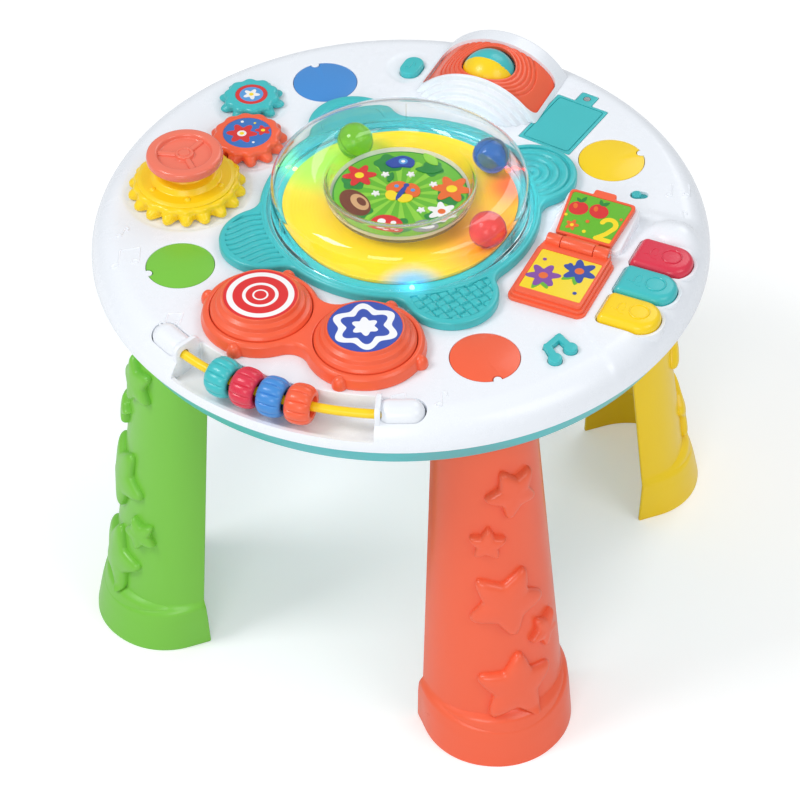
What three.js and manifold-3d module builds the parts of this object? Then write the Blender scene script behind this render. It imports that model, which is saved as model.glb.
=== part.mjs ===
// Musical activity table for toddlers: a round top with gears, drums, keys, a flip book,
// a bead rail, a roller and a clear ball dome, standing on four clip-on legs.
// Millimetres, +Z up. The origin is on the floor under the centre of the top, -Y is the bead side.

import * as THREE from 'three';
import { mergeVertices } from 'three/addons/utils/BufferGeometryUtils.js';
import Module from 'manifold-3d';

const wasm = await Module();
wasm.setup();

// Colours
const colours = {
  white: 0xf0f3fa, teal: 0x46bcc2, coral: 0xf06e50, yellow: 0xfdd637, green: 0x70be44,
  blue: 0x4691d7, red: 0xe13246, clear: 0xe8f2f4, steel: 0xb8bcc2, board: 0x2c7a4b, dark: 0x33363b,
};

// Clearances shared by all pieces
const fit = { seat: 0.3, side: 0.4, running: 0.8, cutOver: 6, nick: 1, weld: 0.0001 };

// Facets round a circle
const facets = { rim: 44, ring: 32, drum: 24, plug: 16, knob: 12, pin: 8 };

// Table top
const top = {
  radius: 240, height: 358, rimDrop: 25, rimWidth: 23, wall: 3, rimSteps: 4,
  openingRadius: 100,
};
const rimLow = top.height - top.rimDrop;
const underside = top.height - top.wall;
const plateauRadius = top.radius - top.rimWidth;

// Bottom casing
const tray = {
  depth: 20, floor: 3, footInset: 11, edgeInset: 2.5, lipHeight: 1.9, lipInset: 4.6, lipWall: 2.2,
};
const trayLow = rimLow - tray.depth;
const trayFloor = trayLow + tray.floor;

// Legs: half-round shells open towards the centre, each with a round plug that shows in the top
const leg = {
  angles: [45, 135, 225, 315], wall: 3, arcSteps: 8, plate: 3, plugRadius: 25.9, plugWall: 2.5,
  plugInset: 62.5, flare: 28, socketWall: 1.5, keyRadius: 3.6, keyReach: 25.4, notchDepth: 8, flush: 0.1,
  starLift: 2.4, starPoints: 5, starWaistShare: 0.62,
};
const trayFoot = top.radius - tray.footInset;
const plugReach = top.radius - leg.plugInset;

// How far each section's middle and open edge lie outside the plug, and its half width
const legSections = [
  { height: 0, outward: 35.5, halfWidth: 61, open: 16.5 },
  { height: 30, outward: 28.5, halfWidth: 61, open: 17.5 },
  { height: 42.5, outward: 25.5, halfWidth: 60.3, open: 18.1 },
  { height: 47, outward: 20.8, halfWidth: 57, open: 18.5 },
  { height: trayLow - leg.flare, outward: -0.3, halfWidth: 40.7, open: -5 },
  { height: trayLow - fit.seat, outward: -2.5, halfWidth: 39, open: -27.5 },
];
const legStars = [
  { drop: 54, turn: 8, size: 38, spin: 20 },
  { drop: 98, turn: -20, size: 27, spin: -10 },
  { drop: 156, turn: -6, size: 56, spin: 12 },
  { drop: 200, turn: 32, size: 25, spin: 30 },
  { drop: 252, turn: 0, size: 60, spin: 0 },
];

// Centre ring with four pads, and what stands in it
const ring = {
  innerRadius: 92.4, seatRadius: 103.2, outerRadius: 109, rise: 7.7, seatDepth: 4, skirtWall: 2,
  skirtDepth: 8, lobeRadius: 36, filletRadius: 15, bevel: 3, bevelSteps: 2, arcSteps: 3,
};
const ringLow = top.height + fit.seat;
const ringTop = ringLow + ring.rise;
const ringSeat = ringTop - ring.seatDepth;
const turntable = {
  radius: 91.8, floorRise: 6, thickness: 2.5, edgeLift: 1.2, edgeWidth: 6, bossRadius: 8, bossRise: 7,
  bossDrop: 9.5, capThickness: 1.1,
};
const floorTop = top.height + turntable.floorRise;
const shaft = { radius: 3, insertion: 7.5 };
const motor = { radius: 17, noseRadius: 6.5, noseHeight: 4.3, height: 25.4 };
const ball = {
  radius: 14.3, rings: 8, tracks: { blue: 82, red: 81.5, green: 71.5 },
  angles: { blue: 55, red: 348.6, green: 144.5 },
};
const dome = {
  wall: 2, flangeRadius: 102.8, flangeHeight: 2.5, footRadius: 99.9, springRadius: 99.4, headroom: 5.1,
  crestRise: 14, wellTopRadius: 56, wellFootRadius: 52.6, wellDepth: 25.3, crestSteps: 6, roundnessShare: 0.8,
};
const crestHeight = floorTop + fit.seat + ball.radius * 2 + dome.headroom + dome.wall;
const springHeight = crestHeight - dome.crestRise;
const wellFloor = crestHeight - dome.wellDepth;
const picture = { radius: 52.2, thickness: 1.4 };
const led = {
  radius: 2, reach: 95.1, height: 11.4, lift: 1.2, pocket: 0.3, angles: { green: 175, red: 52, blue: 300 },
};

// Drums: one stepped peanut housing with two pads
const drum = {
  spacing: 85, ringGap: 44, housingRadius: 45, housingHeight: 10, waistHalf: 27.5, bevel: 3.4, bevelSteps: 1,
  arcSteps: 5, wellRadius: 38.4, padRadius: 37.9, padWall: 2.5, padLow: 4.2, padTop: 22.5, labelRadius: 27.5,
  labelDepth: 0.6, nubRadius: 6, nubReach: 43.2, nubLift: 3, nubRings: 4,
};
const drumY = -(ring.outerRadius + drum.ringGap);
const padSteps = [
  { inset: 0, rise: 11 },
  { inset: 1.6, rise: 13.4 },
  { inset: 4.8, rise: 14.6 },
  { inset: 5.8, rise: 18 },
  { inset: 8.6, rise: 19.6 },
  { inset: 9.6, rise: 22.1 },
];

// Gear train: wave toothed gears on pins
const gears = {
  module: 4.87, wave: 3.9, relief: 0.6, pointsPerTooth: 4, standoff: 0.4, pinRadius: 3.6, pinLow: 14,
  bossRadius: 7, bossHeight: 12, crownInset: 4.4, crownWaveShare: 0.6,
};
const largeGear = { teeth: 18, x: -163, y: -43.5, height: 12, shoulder: 6.5, pinReach: 20 };
const mediumGear = { teeth: 12, bearing: 76.9, height: 11, shoulder: 6, pinReach: 8.5 };
const smallGear = { teeth: 10, bearing: 113.6, height: 8.5, shoulder: 4.5, pinReach: 6.5 };
const gearSticker = { depth: 0.6, mediumRadius: 19.4, smallRadius: 13.2 };
const cone = [
  { radius: 36, rise: 0 },
  { radius: 34, rise: 2 },
  { radius: 26.5, rise: 3.6 },
  { radius: 22, rise: 7.6 },
  { radius: 19, rise: 9 },
  { radius: 16, rise: 13.5 },
  { radius: 15, rise: 17.3 },
];
const wheel = {
  radius: 29.7, height: 8.6, edge: 2.6, dishRadius: 22.5, dishDepth: 3.4, hubRadius: 6.5, spokes: 3,
  spokeWidth: 7, stubRadius: 6, stubHeight: 3, footRadius: 15, footHeight: 1.4,
};

// Flip book
const book = {
  centreX: 145, width: 62, nearY: -61, hingeY: 6.5, layers: 3, layerInset: 2, layerHeight: 2.8,
    cornerRadius: 6,
  pictureWidth: 49, pictureNearY: -52, pictureLength: 47, pictureDepth: 0.6,
};
const hinge = { axisRise: 9, barrelRadius: 5.4, pinRadius: 1.8, earSpan: 50, knuckleWidth: 26, gap: 0.5 };
const cover = {
  tilt: 11.6, nearWidth: 45, farWidth: 54, length: 53, thickness: 4.6, tabWidth: 18, tabLength: 6,
  startOffset: 9, drop: 0.3, pictureInset: 3, pictureDepth: 0.6, wedgeInset: 2, wedgeGap: 0.6,
};

// Piano keys
const keys = {
  innerX: 184, outerX: 229, pitch: 34, width: 33, firstY: 27, sink: 5, rise: 7.5, outerRadius: 15.5,
  innerRadius: 5, bevel: 4, bevelSteps: 2, pocketDepth: 8, humpWidth: 40, humpLength: 26,
  humpRise: 7, humpX: 204, humpY: 61, arcSteps: 4,
};

const keyLow = top.height - keys.sink;
const keyHigh = top.height + keys.rise;
const keyFloor = top.height - keys.pocketDepth;

// Buttons and switch
const musicButton = { x: -68, y: 170, halfWidth: 8.2, length: 8, rise: 4.5, bevel: 1.6, flange: 2,
  plate: 2.4 };
const switchKnob = { x: 161, y: 94, turn: 26, slotHalf: 4.4, slotLength: 5, knobRadius: 3.7, rise: 1.5,
  plate: 3 };
const noteButton = {
  strokeHalf: 2.7, rise: 4, plate: 3, flange: 1.3, headRadius: 5.3,
  beamStart: { x: 163.8, y: -99 }, beamEnd: { x: 167.6, y: -86.2 },
  highHead: { x: 179.6, y: -93.6 }, lowHead: { x: 173.6, y: -108.6 },
};

// Battery bay
const bay = {
  x: 73.4, y: 153, turn: -7.5, width: 46, length: 64, tabWidth: 15, tabLength: 13, tabHole: 1.8,
  screwHead: 2.9, screwShank: 1.4, screwLength: 9, headDepth: 1.7, bossRadius: 5.5, bossHeight: 10,
  boxWall: 1.5, boxLength: 56, boxFloor: 2.2,
};
const cell = { radius: 7.1, length: 50, count: 3, gap: 0.4, nubRadius: 2.6, nubLength: 1 };

// Roller under its arch
const roller = {
  y: 171, ballRadius: 22.3, axisRise: 13, openingRadius: 22.4, pinRadius: 2, pinHalf: 27.2,
  bracketNear: 22.8, bracketFar: 27.4, bracketHalf: 6, bracketRise: 16.2,
};
const arch = {
  axisDrop: 33, outerRadius: 62.5, wall: 6.5, nearY: 130, farY: 213, windowNearY: 146.2,
  windowFarY: 197.8, windowHalf: 50.4, insertInset: 2.5, insertWall: 2.8, insertHalf: 50,
  insertHole: 21.8, arcSteps: 16, steps: 4, stepReach: 3.4, stepRise: 3.3, endWall: 2.6,
};

const rollerAxis = top.height + roller.axisRise;
const archAxis = top.height - arch.axisDrop;
const archInner = arch.outerRadius - arch.wall;
const insertRadius = arch.outerRadius - arch.insertInset;

// Bead rail
const rail = {
  rimInset: 16, drop: 2, rodRadius: 3.5, startAngle: 250, endAngle: 290, floorDrop: 20, floorWall: 3,
  backGap: 1, frontReach: 8.4, blockAngle: 9.6, endWallAngle: 1, blockRise: 7, blockBevel: 4,
  bevelSteps: 2, rodIntoBlock: 3.6, sideWall: 3, steps: 10, blockSteps: 3,
};
const bead = {
  width: 19.4, radius: 15.2, endRadius: 10.5, boreRadius: 4.2, ribs: 11, ribDepthShare: 0.94,
  angles: { teal: 259.85, red: 265.3, blue: 270.75, coral: 276.2 }, shoulderShare: 0.72, barrelShare: 0.94,
};

const railHeight = top.height - rail.drop;
const railFloor = top.height - rail.floorDrop;
const railRadius = top.radius - rail.rimInset;
const railBack = railRadius - bead.radius - rail.backGap;
const railFront = railRadius + rail.frontReach;

// Inside the casing
const board = { x: 62, y: -52, width: 78, depth: 52, thickness: 1.6, postRadius: 3, postHeight: 5.7 };
const speaker = { x: -66, y: -52, radius: 27, height: 13, magnetRadius: 15, flange: 3, slots: 5,
  slotHalf: 1.4 };
const trayScrew = {
  angles: [22, 105, 202, 300], rimInset: 35, headRadius: 4, headHeight: 2.5, shankRadius: 1.5, length: 15,
  padRadius: 8, padHeight: 3, bossRadius: 5,
};

// Geometry helpers

function upright(geometry) {
  return geometry.rotateX(Math.PI / 2);
}

function solidOf(geometry) {
  const bare = new THREE.BufferGeometry();
  bare.setAttribute('position', geometry.getAttribute('position').clone());
  if (geometry.index) bare.setIndex(geometry.index.clone());
  const merged = mergeVertices(bare, fit.weld);
  const places = merged.getAttribute('position').array;
  const corners = merged.index.array;
  const kept = [];
  for (let i = 0; i < corners.length; i += 3) {
    const [a, b, c] = [corners[i], corners[i + 1], corners[i + 2]];
    if (a !== b && b !== c && c !== a) kept.push(a, b, c);
  }
  if (signedVolume(places, kept) < 0) kept.reverse();
  const mesh = new wasm.Mesh({
    numProp: 3,
    vertProperties: new Float32Array(places),
    triVerts: new Uint32Array(kept),
  });
  return new wasm.Manifold(mesh);
}

function signedVolume(places, corners) {
  let sum = 0;
  const [a, b, c] = [new THREE.Vector3(), new THREE.Vector3(), new THREE.Vector3()];
  for (let i = 0; i < corners.length; i += 3) {
    a.fromArray(places, corners[i] * 3);
    b.fromArray(places, corners[i + 1] * 3);
    c.fromArray(places, corners[i + 2] * 3);
    sum += a.dot(b.cross(c));
  }
  return sum;
}

function joined(parts) {
  return parts.reduce((sum, part) => sum.add(part));
}

function cutBy(body, cutters) {
  return cutters.length ? body.subtract(joined(cutters)) : body;
}

function meshOf(name, solid, colour, look = {}) {
  const data = solid.getMesh();
  const geometry = new THREE.BufferGeometry();
  geometry.setAttribute('position', new THREE.BufferAttribute(new Float32Array(data.vertProperties), 3));
  geometry.setIndex(new THREE.BufferAttribute(new Uint32Array(data.triVerts), 1));
  const material = new THREE.MeshStandardMaterial({ color: colour, roughness: 0.35, metalness: 0, ...look });
  const mesh = new THREE.Mesh(geometry, material);
  mesh.name = name;
  return mesh;
}

// Solid of revolution about +Z from points (radius, height)
function spun(points, segments) {
  const profile = points.map(([radius, height]) => new THREE.Vector2(radius, height));
  return solidOf(upright(new THREE.LatheGeometry(profile, segments)));
}

function disc(radius, low, high, segments, x = 0, y = 0) {
  const geometry = upright(new THREE.CylinderGeometry(radius, radius, high - low, segments));
  return solidOf(geometry.translate(x, y, (low + high) / 2));
}

function slab(x, y, low, width, depth, height, turn = 0) {
  const geometry = new THREE.BoxGeometry(width, depth, height);
  geometry.rotateZ(THREE.MathUtils.degToRad(turn));
  return solidOf(geometry.translate(x, y, low + height / 2));
}

function prism(shape, low, high, steps) {
  const settings = { depth: high - low, bevelEnabled: false, curveSegments: steps };
  return solidOf(new THREE.ExtrudeGeometry(shape, settings).translate(0, 0, low));
}

// Prism with a rounded upper edge and a sharp lower one
function crowned(shape, low, high, bevel, bevelSteps, steps) {
  const settings = {
    depth: high - low, bevelEnabled: true, bevelThickness: bevel, bevelSize: bevel, bevelOffset: -bevel,
    bevelSegments: bevelSteps, curveSegments: steps,
  };
  const body = solidOf(new THREE.ExtrudeGeometry(shape, settings).translate(0, 0, low - bevel));
  const reach = top.radius * 4;
  return body.subtract(slab(0, 0, low - fit.cutOver * 2, reach, reach, fit.cutOver * 2));
}

function loft(rings) {
  const count = rings[0].length;
  const places = rings.flat().flatMap((point) => [point.x, point.y, point.z]);
  const corners = [];
  for (let level = 0; level + 1 < rings.length; level += 1) {
    for (let i = 0; i < count; i += 1) {
      const [a, b] = [level * count + i, level * count + ((i + 1) % count)];
      corners.push(a, b, b + count, a, b + count, a + count);
    }
  }
  const outline = (points) => points.map((point) => new THREE.Vector2(point.x, point.y));
  const last = (rings.length - 1) * count;
  for (const [a, b, c] of THREE.ShapeUtils.triangulateShape(outline(rings[0]), [])) corners.push(a, c, b);
  for (const [a, b, c] of THREE.ShapeUtils.triangulateShape(outline(rings.at(-1)), [])) {
    corners.push(last + a, last + b, last + c);
  }
  const geometry = new THREE.BufferGeometry();
  geometry.setAttribute('position', new THREE.Float32BufferAttribute(places, 3));
  geometry.setIndex(corners);
  return solidOf(geometry);
}

function polar(radius, angle) {
  const turn = THREE.MathUtils.degToRad(angle);
  return new THREE.Vector2(radius * Math.cos(turn), radius * Math.sin(turn));
}

function sector(inner, outer, start, end) {
  const [from, to] = [THREE.MathUtils.degToRad(start), THREE.MathUtils.degToRad(end)];
  const shape = new THREE.Shape();
  shape.absarc(0, 0, outer, from, to, false);
  shape.absarc(0, 0, inner, to, from, true);
  return shape;
}

function roundedBox(x0, x1, y0, y1, radius) {
  const shape = new THREE.Shape();
  shape.absarc(x1 - radius, y0 + radius, radius, -Math.PI / 2, 0, false);
  shape.absarc(x1 - radius, y1 - radius, radius, 0, Math.PI / 2, false);
  shape.absarc(x0 + radius, y1 - radius, radius, Math.PI / 2, Math.PI, false);
  shape.absarc(x0 + radius, y0 + radius, radius, Math.PI, Math.PI * 1.5, false);
  return shape;
}

// Long hole or button outline with round ends, centred on the origin along +Y
function pill(halfWidth, length) {
  const shape = new THREE.Shape();
  shape.absarc(0, length / 2, halfWidth, 0, Math.PI, false);
  shape.absarc(0, -length / 2, halfWidth, Math.PI, Math.PI * 2, false);
  return shape;
}

function movedShape(shape, x, y, turn, steps) {
  const angle = THREE.MathUtils.degToRad(turn);
  const centre = new THREE.Vector2();
  const points = shape.getPoints(steps).map((point) => {
    const turned = point.clone().rotateAround(centre, angle);
    return new THREE.Vector2(turned.x + x, turned.y + y);
  });
  return new THREE.Shape(points);
}

// Table top

function rimCurve(inset) {
  const curve = new THREE.EllipseCurve(
    plateauRadius, rimLow, top.radius - plateauRadius - inset, top.rimDrop - inset, 0, Math.PI / 2,
  );
  return curve.getPoints(top.rimSteps).map((point) => [point.x, point.y]);
}

function topOutside() {
  return spun([[0, rimLow], ...rimCurve(0), [0, top.height]], facets.rim);
}

function topCavity() {
  const low = rimLow - fit.cutOver;
  const inner = top.radius - top.wall;
  return spun([[0, low], [inner, low], ...rimCurve(top.wall), [0, underside]], facets.rim);
}

function plugHole(angle) {
  const place = polar(plugReach, angle);
  const key = polar(plugReach + leg.keyReach, angle);
  const [low, high] = [underside - fit.cutOver, top.height + fit.cutOver];
  const hole = disc(leg.plugRadius + fit.side, low, high, facets.plug, place.x, place.y);
  return hole.subtract(disc(leg.keyRadius, low, high, facets.pin, key.x, key.y));
}

function screwPlaces() {
  return trayScrew.angles.map((angle) => polar(top.radius - trayScrew.rimInset, angle));
}

const gearSpots = gearPlaces();

function gearPlaces() {
  const pitch = (gear) => (gears.module * gear.teeth) / 2;
  const large = new THREE.Vector2(largeGear.x, largeGear.y);
  const medium = polar(pitch(largeGear) + pitch(mediumGear), mediumGear.bearing).add(large);
  const small = polar(pitch(mediumGear) + pitch(smallGear), smallGear.bearing).add(medium);
  return { large, medium, small };
}

function shellBlocks() {
  const railEnd = rail.blockAngle + fit.side;
  const railShape = sector(
    railBack - rail.sideWall, top.radius, rail.startAngle - railEnd - rail.endWallAngle,
    rail.endAngle + railEnd + rail.endWallAngle,
  );
  const blocks = [prism(railShape, railFloor - rail.floorWall, top.height, rail.steps)];
  const pocket = keyPocket(top.wall);
  blocks.push(prism(pocket, keyFloor - top.wall, top.height, keys.arcSteps));
  for (const place of Object.values(gearSpots)) {
    blocks.push(
      disc(gears.bossRadius, underside - gears.bossHeight, top.height, facets.knob, place.x, place.y),
    );
  }
  const tab = bayPoint(0, bay.length / 2 + bay.tabLength / 2);
  const bossWidth = bay.tabWidth + 2 * (fit.side + top.wall);
  const bossLow = underside - bay.bossHeight;
  blocks.push(slab(tab.x, tab.y, bossLow, bossWidth, bay.bossRadius * 2, top.height - bossLow, bay.turn));
  return joined(blocks);
}

// Posts that the casing's screws bite into, from the bottom casing up to the plateau
function screwPosts() {
  const low = trayFloor + trayScrew.padHeight + fit.seat;
  const posts = screwPlaces().map((place) => disc(
    trayScrew.bossRadius, low, top.height - fit.nick, facets.pin, place.x, place.y,
  ));
  return joined(posts);
}

function keyPocket(grow) {
  const reach = keys.width / 2 + fit.side + grow;
  return roundedBox(
    keys.innerX - fit.side - grow, keys.outerX + fit.side + grow,
    keys.firstY - 2 * keys.pitch - reach, keys.firstY + reach, keys.innerRadius + fit.side + grow,
  );
}

function railCuts() {
  const high = top.height + fit.cutOver;
  const open = sector(railBack, top.radius + fit.cutOver, rail.startAngle, rail.endAngle);
  const reach = rail.blockAngle + fit.side;
  const closed = sector(railBack, railFront, rail.startAngle - reach, rail.endAngle + reach);
  return [prism(open, railFloor, high, rail.steps), prism(closed, railFloor, high, rail.steps)];
}

function bayPoint(across, along) {
  const point = new THREE.Vector2(across, along);
  point.rotateAround(new THREE.Vector2(), THREE.MathUtils.degToRad(bay.turn));
  return point.add(new THREE.Vector2(bay.x, bay.y));
}

function bayOutline(grow, low, height) {
  const tab = bayPoint(0, bay.length / 2 + bay.tabLength / 2);
  const lid = slab(bay.x, bay.y, low, bay.width + 2 * grow, bay.length + 2 * grow, height, bay.turn);
  const ear = slab(tab.x, tab.y, low, bay.tabWidth + 2 * grow, bay.tabLength + 2 * grow, height, bay.turn);
  return lid.add(ear);
}

function noteOutline(grow, low, high) {
  const strokes = [
    [noteButton.beamStart, noteButton.beamEnd],
    [noteButton.beamEnd, noteButton.highHead],
    [noteButton.beamStart, noteButton.lowHead],
  ];
  const parts = strokes.map(([from, to]) => {
    const length = Math.hypot(to.x - from.x, to.y - from.y);
    const turn = THREE.MathUtils.radToDeg(Math.atan2(to.y - from.y, to.x - from.x)) - 90;
    const reach = length + 2 * (noteButton.strokeHalf + grow);
    return slab(
      (from.x + to.x) / 2, (from.y + to.y) / 2, low, 2 * (noteButton.strokeHalf + grow), reach, high - low,
        turn,
    );
  });
  for (const head of [noteButton.highHead, noteButton.lowHead]) {
    parts.push(disc(noteButton.headRadius + grow, low, high, facets.pin, head.x, head.y));
  }
  return joined(parts);
}

function shellCuts() {
  const [low, high] = [underside - fit.cutOver, top.height + fit.cutOver];
  const cuts = [disc(top.openingRadius, low, high, facets.ring), ...railCuts()];
  cuts.push(...leg.angles.map(plugHole));
  cuts.push(prism(keyPocket(0), keyFloor, high, keys.arcSteps));
  cuts.push(disc(roller.openingRadius, low, high, facets.drum, 0, roller.y));
  cuts.push(bayOutline(fit.side, underside, high - underside));
  cuts.push(slab(bay.x, bay.y, low, bay.width - 2 * bay.boxWall, bay.boxLength, high - low, bay.turn));
  const oval = pill(musicButton.halfWidth + fit.side, musicButton.length);
  cuts.push(prism(movedShape(oval, musicButton.x, musicButton.y, 0, facets.pin / 2), low, high, 1));
  const slot = pill(switchKnob.slotHalf, switchKnob.slotLength);
  const slotTurn = switchKnob.turn - 90;
  cuts.push(prism(movedShape(slot, switchKnob.x, switchKnob.y, slotTurn, facets.pin / 2), low, high, 1));
  cuts.push(noteOutline(fit.side, low, high));
  for (const place of screwPlaces()) {
    const depth = trayFloor + trayScrew.length + fit.nick;
    cuts.push(disc(trayScrew.shankRadius + fit.seat, trayLow, depth, facets.pin, place.x, place.y));
  }
  for (const place of Object.values(gearSpots)) {
    const foot = top.height - gears.pinLow - fit.seat;
    cuts.push(disc(gears.pinRadius + fit.seat, foot, high, facets.pin, place.x, place.y));
  }
  const tab = bayPoint(0, bay.length / 2 + bay.tabLength / 2);
  const tipLow = top.height - bay.screwLength - fit.nick;
  cuts.push(disc(bay.screwShank + fit.seat, tipLow, high, facets.pin, tab.x, tab.y));
  return cuts;
}

// White ramp that the open book cover leans on, and the swell behind the last key
function shellRaised() {
  const rest = coverRest();
  const hump = new THREE.SphereGeometry(1, facets.plug, facets.pin);
  hump.scale(keys.humpWidth / 2, keys.humpLength / 2, keys.humpRise);
  const swell = solidOf(hump.translate(keys.humpX, keys.humpY, top.height - fit.nick));
  const hold = topOutside().subtract(topCavity());
  const above = swell.subtract(topCavity());
  const pocket = prism(keyPocket(0), keyFloor, keyHigh + keys.humpRise, keys.arcSteps);
  const posts = [-1, 1].map((side) => rollerPost(side));
  return joined([rest, above.subtract(pocket), hold.intersect(swell), ...posts]);
}

function rollerPost(side) {
  const middle = (side * (roller.bracketNear + roller.bracketFar)) / 2;
  const width = roller.bracketFar - roller.bracketNear;
  const post = slab(
    middle, roller.y, underside, width, roller.bracketHalf * 2, top.height + roller.bracketRise - underside,
  );
  const hole = solidOf(new THREE.CylinderGeometry(
    roller.pinRadius + fit.seat, roller.pinRadius + fit.seat, width + 2 * fit.cutOver, facets.pin,
  ).rotateZ(Math.PI / 2).translate(middle, roller.y, rollerAxis));
  return post.subtract(hole);
}

function topShell() {
  const outside = topOutside();
  const skin = outside.subtract(topCavity());
  const blocked = skin.add(shellBlocks().intersect(outside)).add(screwPosts());
  const body = cutBy(blocked, shellCuts()).add(shellRaised());
  return meshOf('top_shell', body, colours.white);
}

// Bottom casing

function baseTray() {
  const edge = top.radius - tray.edgeInset;
  const lip = top.radius - tray.lipInset;
  const high = rimLow - fit.seat;
  const inner = lip - tray.lipWall;
  const wallFoot = trayFoot - tray.floor;
  const profile = [
    [0, trayLow], [trayFoot, trayLow], [edge, high], [lip, high], [lip, high + tray.lipHeight],
    [inner, high + tray.lipHeight], [wallFoot, trayFloor], [0, trayFloor],
  ];
  const parts = [spun(profile, facets.rim)];
  const cuts = [];
  const socket = leg.plugRadius + fit.side;
  for (const angle of leg.angles) {
    const place = polar(plugReach, angle);
    const tubeTop = underside - fit.seat;
    parts.push(disc(socket + leg.socketWall, trayLow, tubeTop, facets.plug, place.x, place.y));
    cuts.push(disc(socket, trayLow - fit.cutOver, tubeTop + fit.cutOver, facets.plug, place.x, place.y));
  }
  for (const place of screwPlaces()) {
    const padTop = trayFloor + trayScrew.padHeight;
    parts.push(disc(trayScrew.padRadius, trayLow, padTop, facets.pin, place.x, place.y));
    cuts.push(
      disc(trayScrew.headRadius + fit.side, trayLow - fit.nick, trayFloor, facets.pin, place.x, place.y),
    );
    cuts.push(
      disc(trayScrew.shankRadius + fit.side, trayLow, padTop + fit.nick, facets.pin, place.x, place.y),
    );
  }
  for (const place of boardCorners()) {
    parts.push(disc(board.postRadius, trayLow, trayFloor + board.postHeight, facets.pin, place.x, place.y));
  }
  cuts.push(...speakerSlots());
  return meshOf('base_tray', cutBy(joined(parts), cuts), colours.teal);
}

function boardCorners() {
  const [across, along] = [board.width / 2 - board.postRadius, board.depth / 2 - board.postRadius];
  const signs = [[-1, -1], [1, -1], [1, 1], [-1, 1]];
  return signs.map(([sx, sy]) => new THREE.Vector2(board.x + sx * across, board.y + sy * along));
}

function speakerSlots() {
  const pitch = (speaker.radius * 2) / (speaker.slots + 1);
  const middle = (speaker.slots - 1) / 2;
  return Array.from({ length: speaker.slots }, (_, i) => {
    const offset = (i - middle) * pitch;
    const half = Math.sqrt(speaker.radius ** 2 - offset ** 2) - speaker.flange * 2;
    return slab(
      speaker.x, speaker.y + offset, trayLow - fit.nick, half * 2, speaker.slotHalf * 2,
      tray.floor + 2 * fit.nick,
    );
  });
}

// Legs

function legRing(section, grow, inward, height) {
  const points = [];
  const radius = section.halfWidth + grow;
  for (let i = 0; i <= leg.arcSteps; i += 1) {
    const place = polar(radius, -90 + (180 * i) / leg.arcSteps);
    points.push(new THREE.Vector3(plugReach + section.outward + place.x, place.y, height));
  }
  points.push(new THREE.Vector3(plugReach + section.open - inward, radius, height));
  points.push(new THREE.Vector3(plugReach + section.open - inward, -radius, height));
  return points;
}

function legBody(grow, inward, lowOver, highOver) {
  const last = legSections.length - 1;
  const rings = legSections.map((section, i) => {
    const height = section.height - (i === 0 ? lowOver : 0) + (i === last ? highOver : 0);
    return legRing(section, grow, inward, height);
  });
  return loft(rings);
}

function legSectionAt(height) {
  const next = legSections.findIndex((section) => section.height > height);
  const [below, above] = [legSections[next - 1], legSections[next]];
  const share = (height - below.height) / (above.height - below.height);
  return plugReach + THREE.MathUtils.lerp(below.outward, above.outward, share);
}

function starPrism(star) {
  const outline = [];
  for (let i = 0; i < leg.starPoints * 2; i += 1) {
    const radius = (star.size / 2) * (i % 2 ? leg.starWaistShare : 1);
    outline.push(polar(radius, 90 + star.spin + (180 * i) / leg.starPoints));
  }
  const reach = top.radius;
  const geometry = new THREE.ExtrudeGeometry(new THREE.Shape(outline), { depth: reach, bevelEnabled: false });
  geometry.rotateX(Math.PI / 2).rotateZ(Math.PI / 2);
  geometry.rotateZ(THREE.MathUtils.degToRad(star.turn));
  const height = trayLow - star.drop;
  return solidOf(geometry.translate(legSectionAt(height), 0, height));
}

function legMesh(name, colour, angle) {
  const plateTop = legSections.at(-1).height;
  const skin = legBody(0, 0, 0, 0);
  const stars = joined(legStars.map(starPrism)).intersect(legBody(leg.starLift, 0, 0, 0));
  const hollow = legBody(-leg.wall, fit.cutOver * 4, fit.cutOver, -leg.plate);
  const shell = skin.add(stars).subtract(hollow);
  const plugTop = top.height - leg.flush;
  const plug = disc(leg.plugRadius, plateTop - leg.plate, plugTop, facets.plug, plugReach, 0);
  const bore = disc(
    leg.plugRadius - leg.plugWall, plateTop - leg.plate - fit.nick, plugTop - leg.plugWall, facets.plug,
      plugReach, 0,
  );
  const notch = disc(
    leg.keyRadius + fit.side, plugTop - leg.notchDepth, plugTop + fit.nick, facets.pin,
      plugReach + leg.keyReach, 0,
  );
  const mesh = meshOf(name, shell.add(plug).subtract(bore).subtract(notch), colour);
  mesh.rotation.z = THREE.MathUtils.degToRad(angle);
  return mesh;
}

// Centre ring, dome and what they hold

// Ring outline: a circle with four round pads, joined by fillets
function lobedOutline() {
  const shape = new THREE.Shape();
  const [big, lobe, fillet] = [ring.outerRadius, ring.lobeRadius, ring.filletRadius];
  const [toCentre, toLobe, span] = [big + fillet, lobe + fillet, ring.outerRadius];
  const atCentre = Math.acos((toCentre ** 2 + span ** 2 - toLobe ** 2) / (2 * toCentre * span));
  const atLobe = Math.acos((toLobe ** 2 + span ** 2 - toCentre ** 2) / (2 * toLobe * span));
  leg.angles.forEach((degreesTurn) => {
    const turn = THREE.MathUtils.degToRad(degreesTurn);
    const [cx, cy] = [span * Math.cos(turn), span * Math.sin(turn)];
    const before = turn - atCentre;
    const after = turn + atCentre;
    shape.absarc(toCentre * Math.cos(before), toCentre * Math.sin(before), fillet,
      before + Math.PI, turn + Math.PI + atLobe - Math.PI, true);
    shape.absarc(cx, cy, lobe, turn - Math.PI + atLobe, turn + Math.PI - atLobe, false);
    shape.absarc(toCentre * Math.cos(after), toCentre * Math.sin(after), fillet,
      turn + Math.PI - atLobe + Math.PI, after + Math.PI, true);
  });
  return shape;
}

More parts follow.
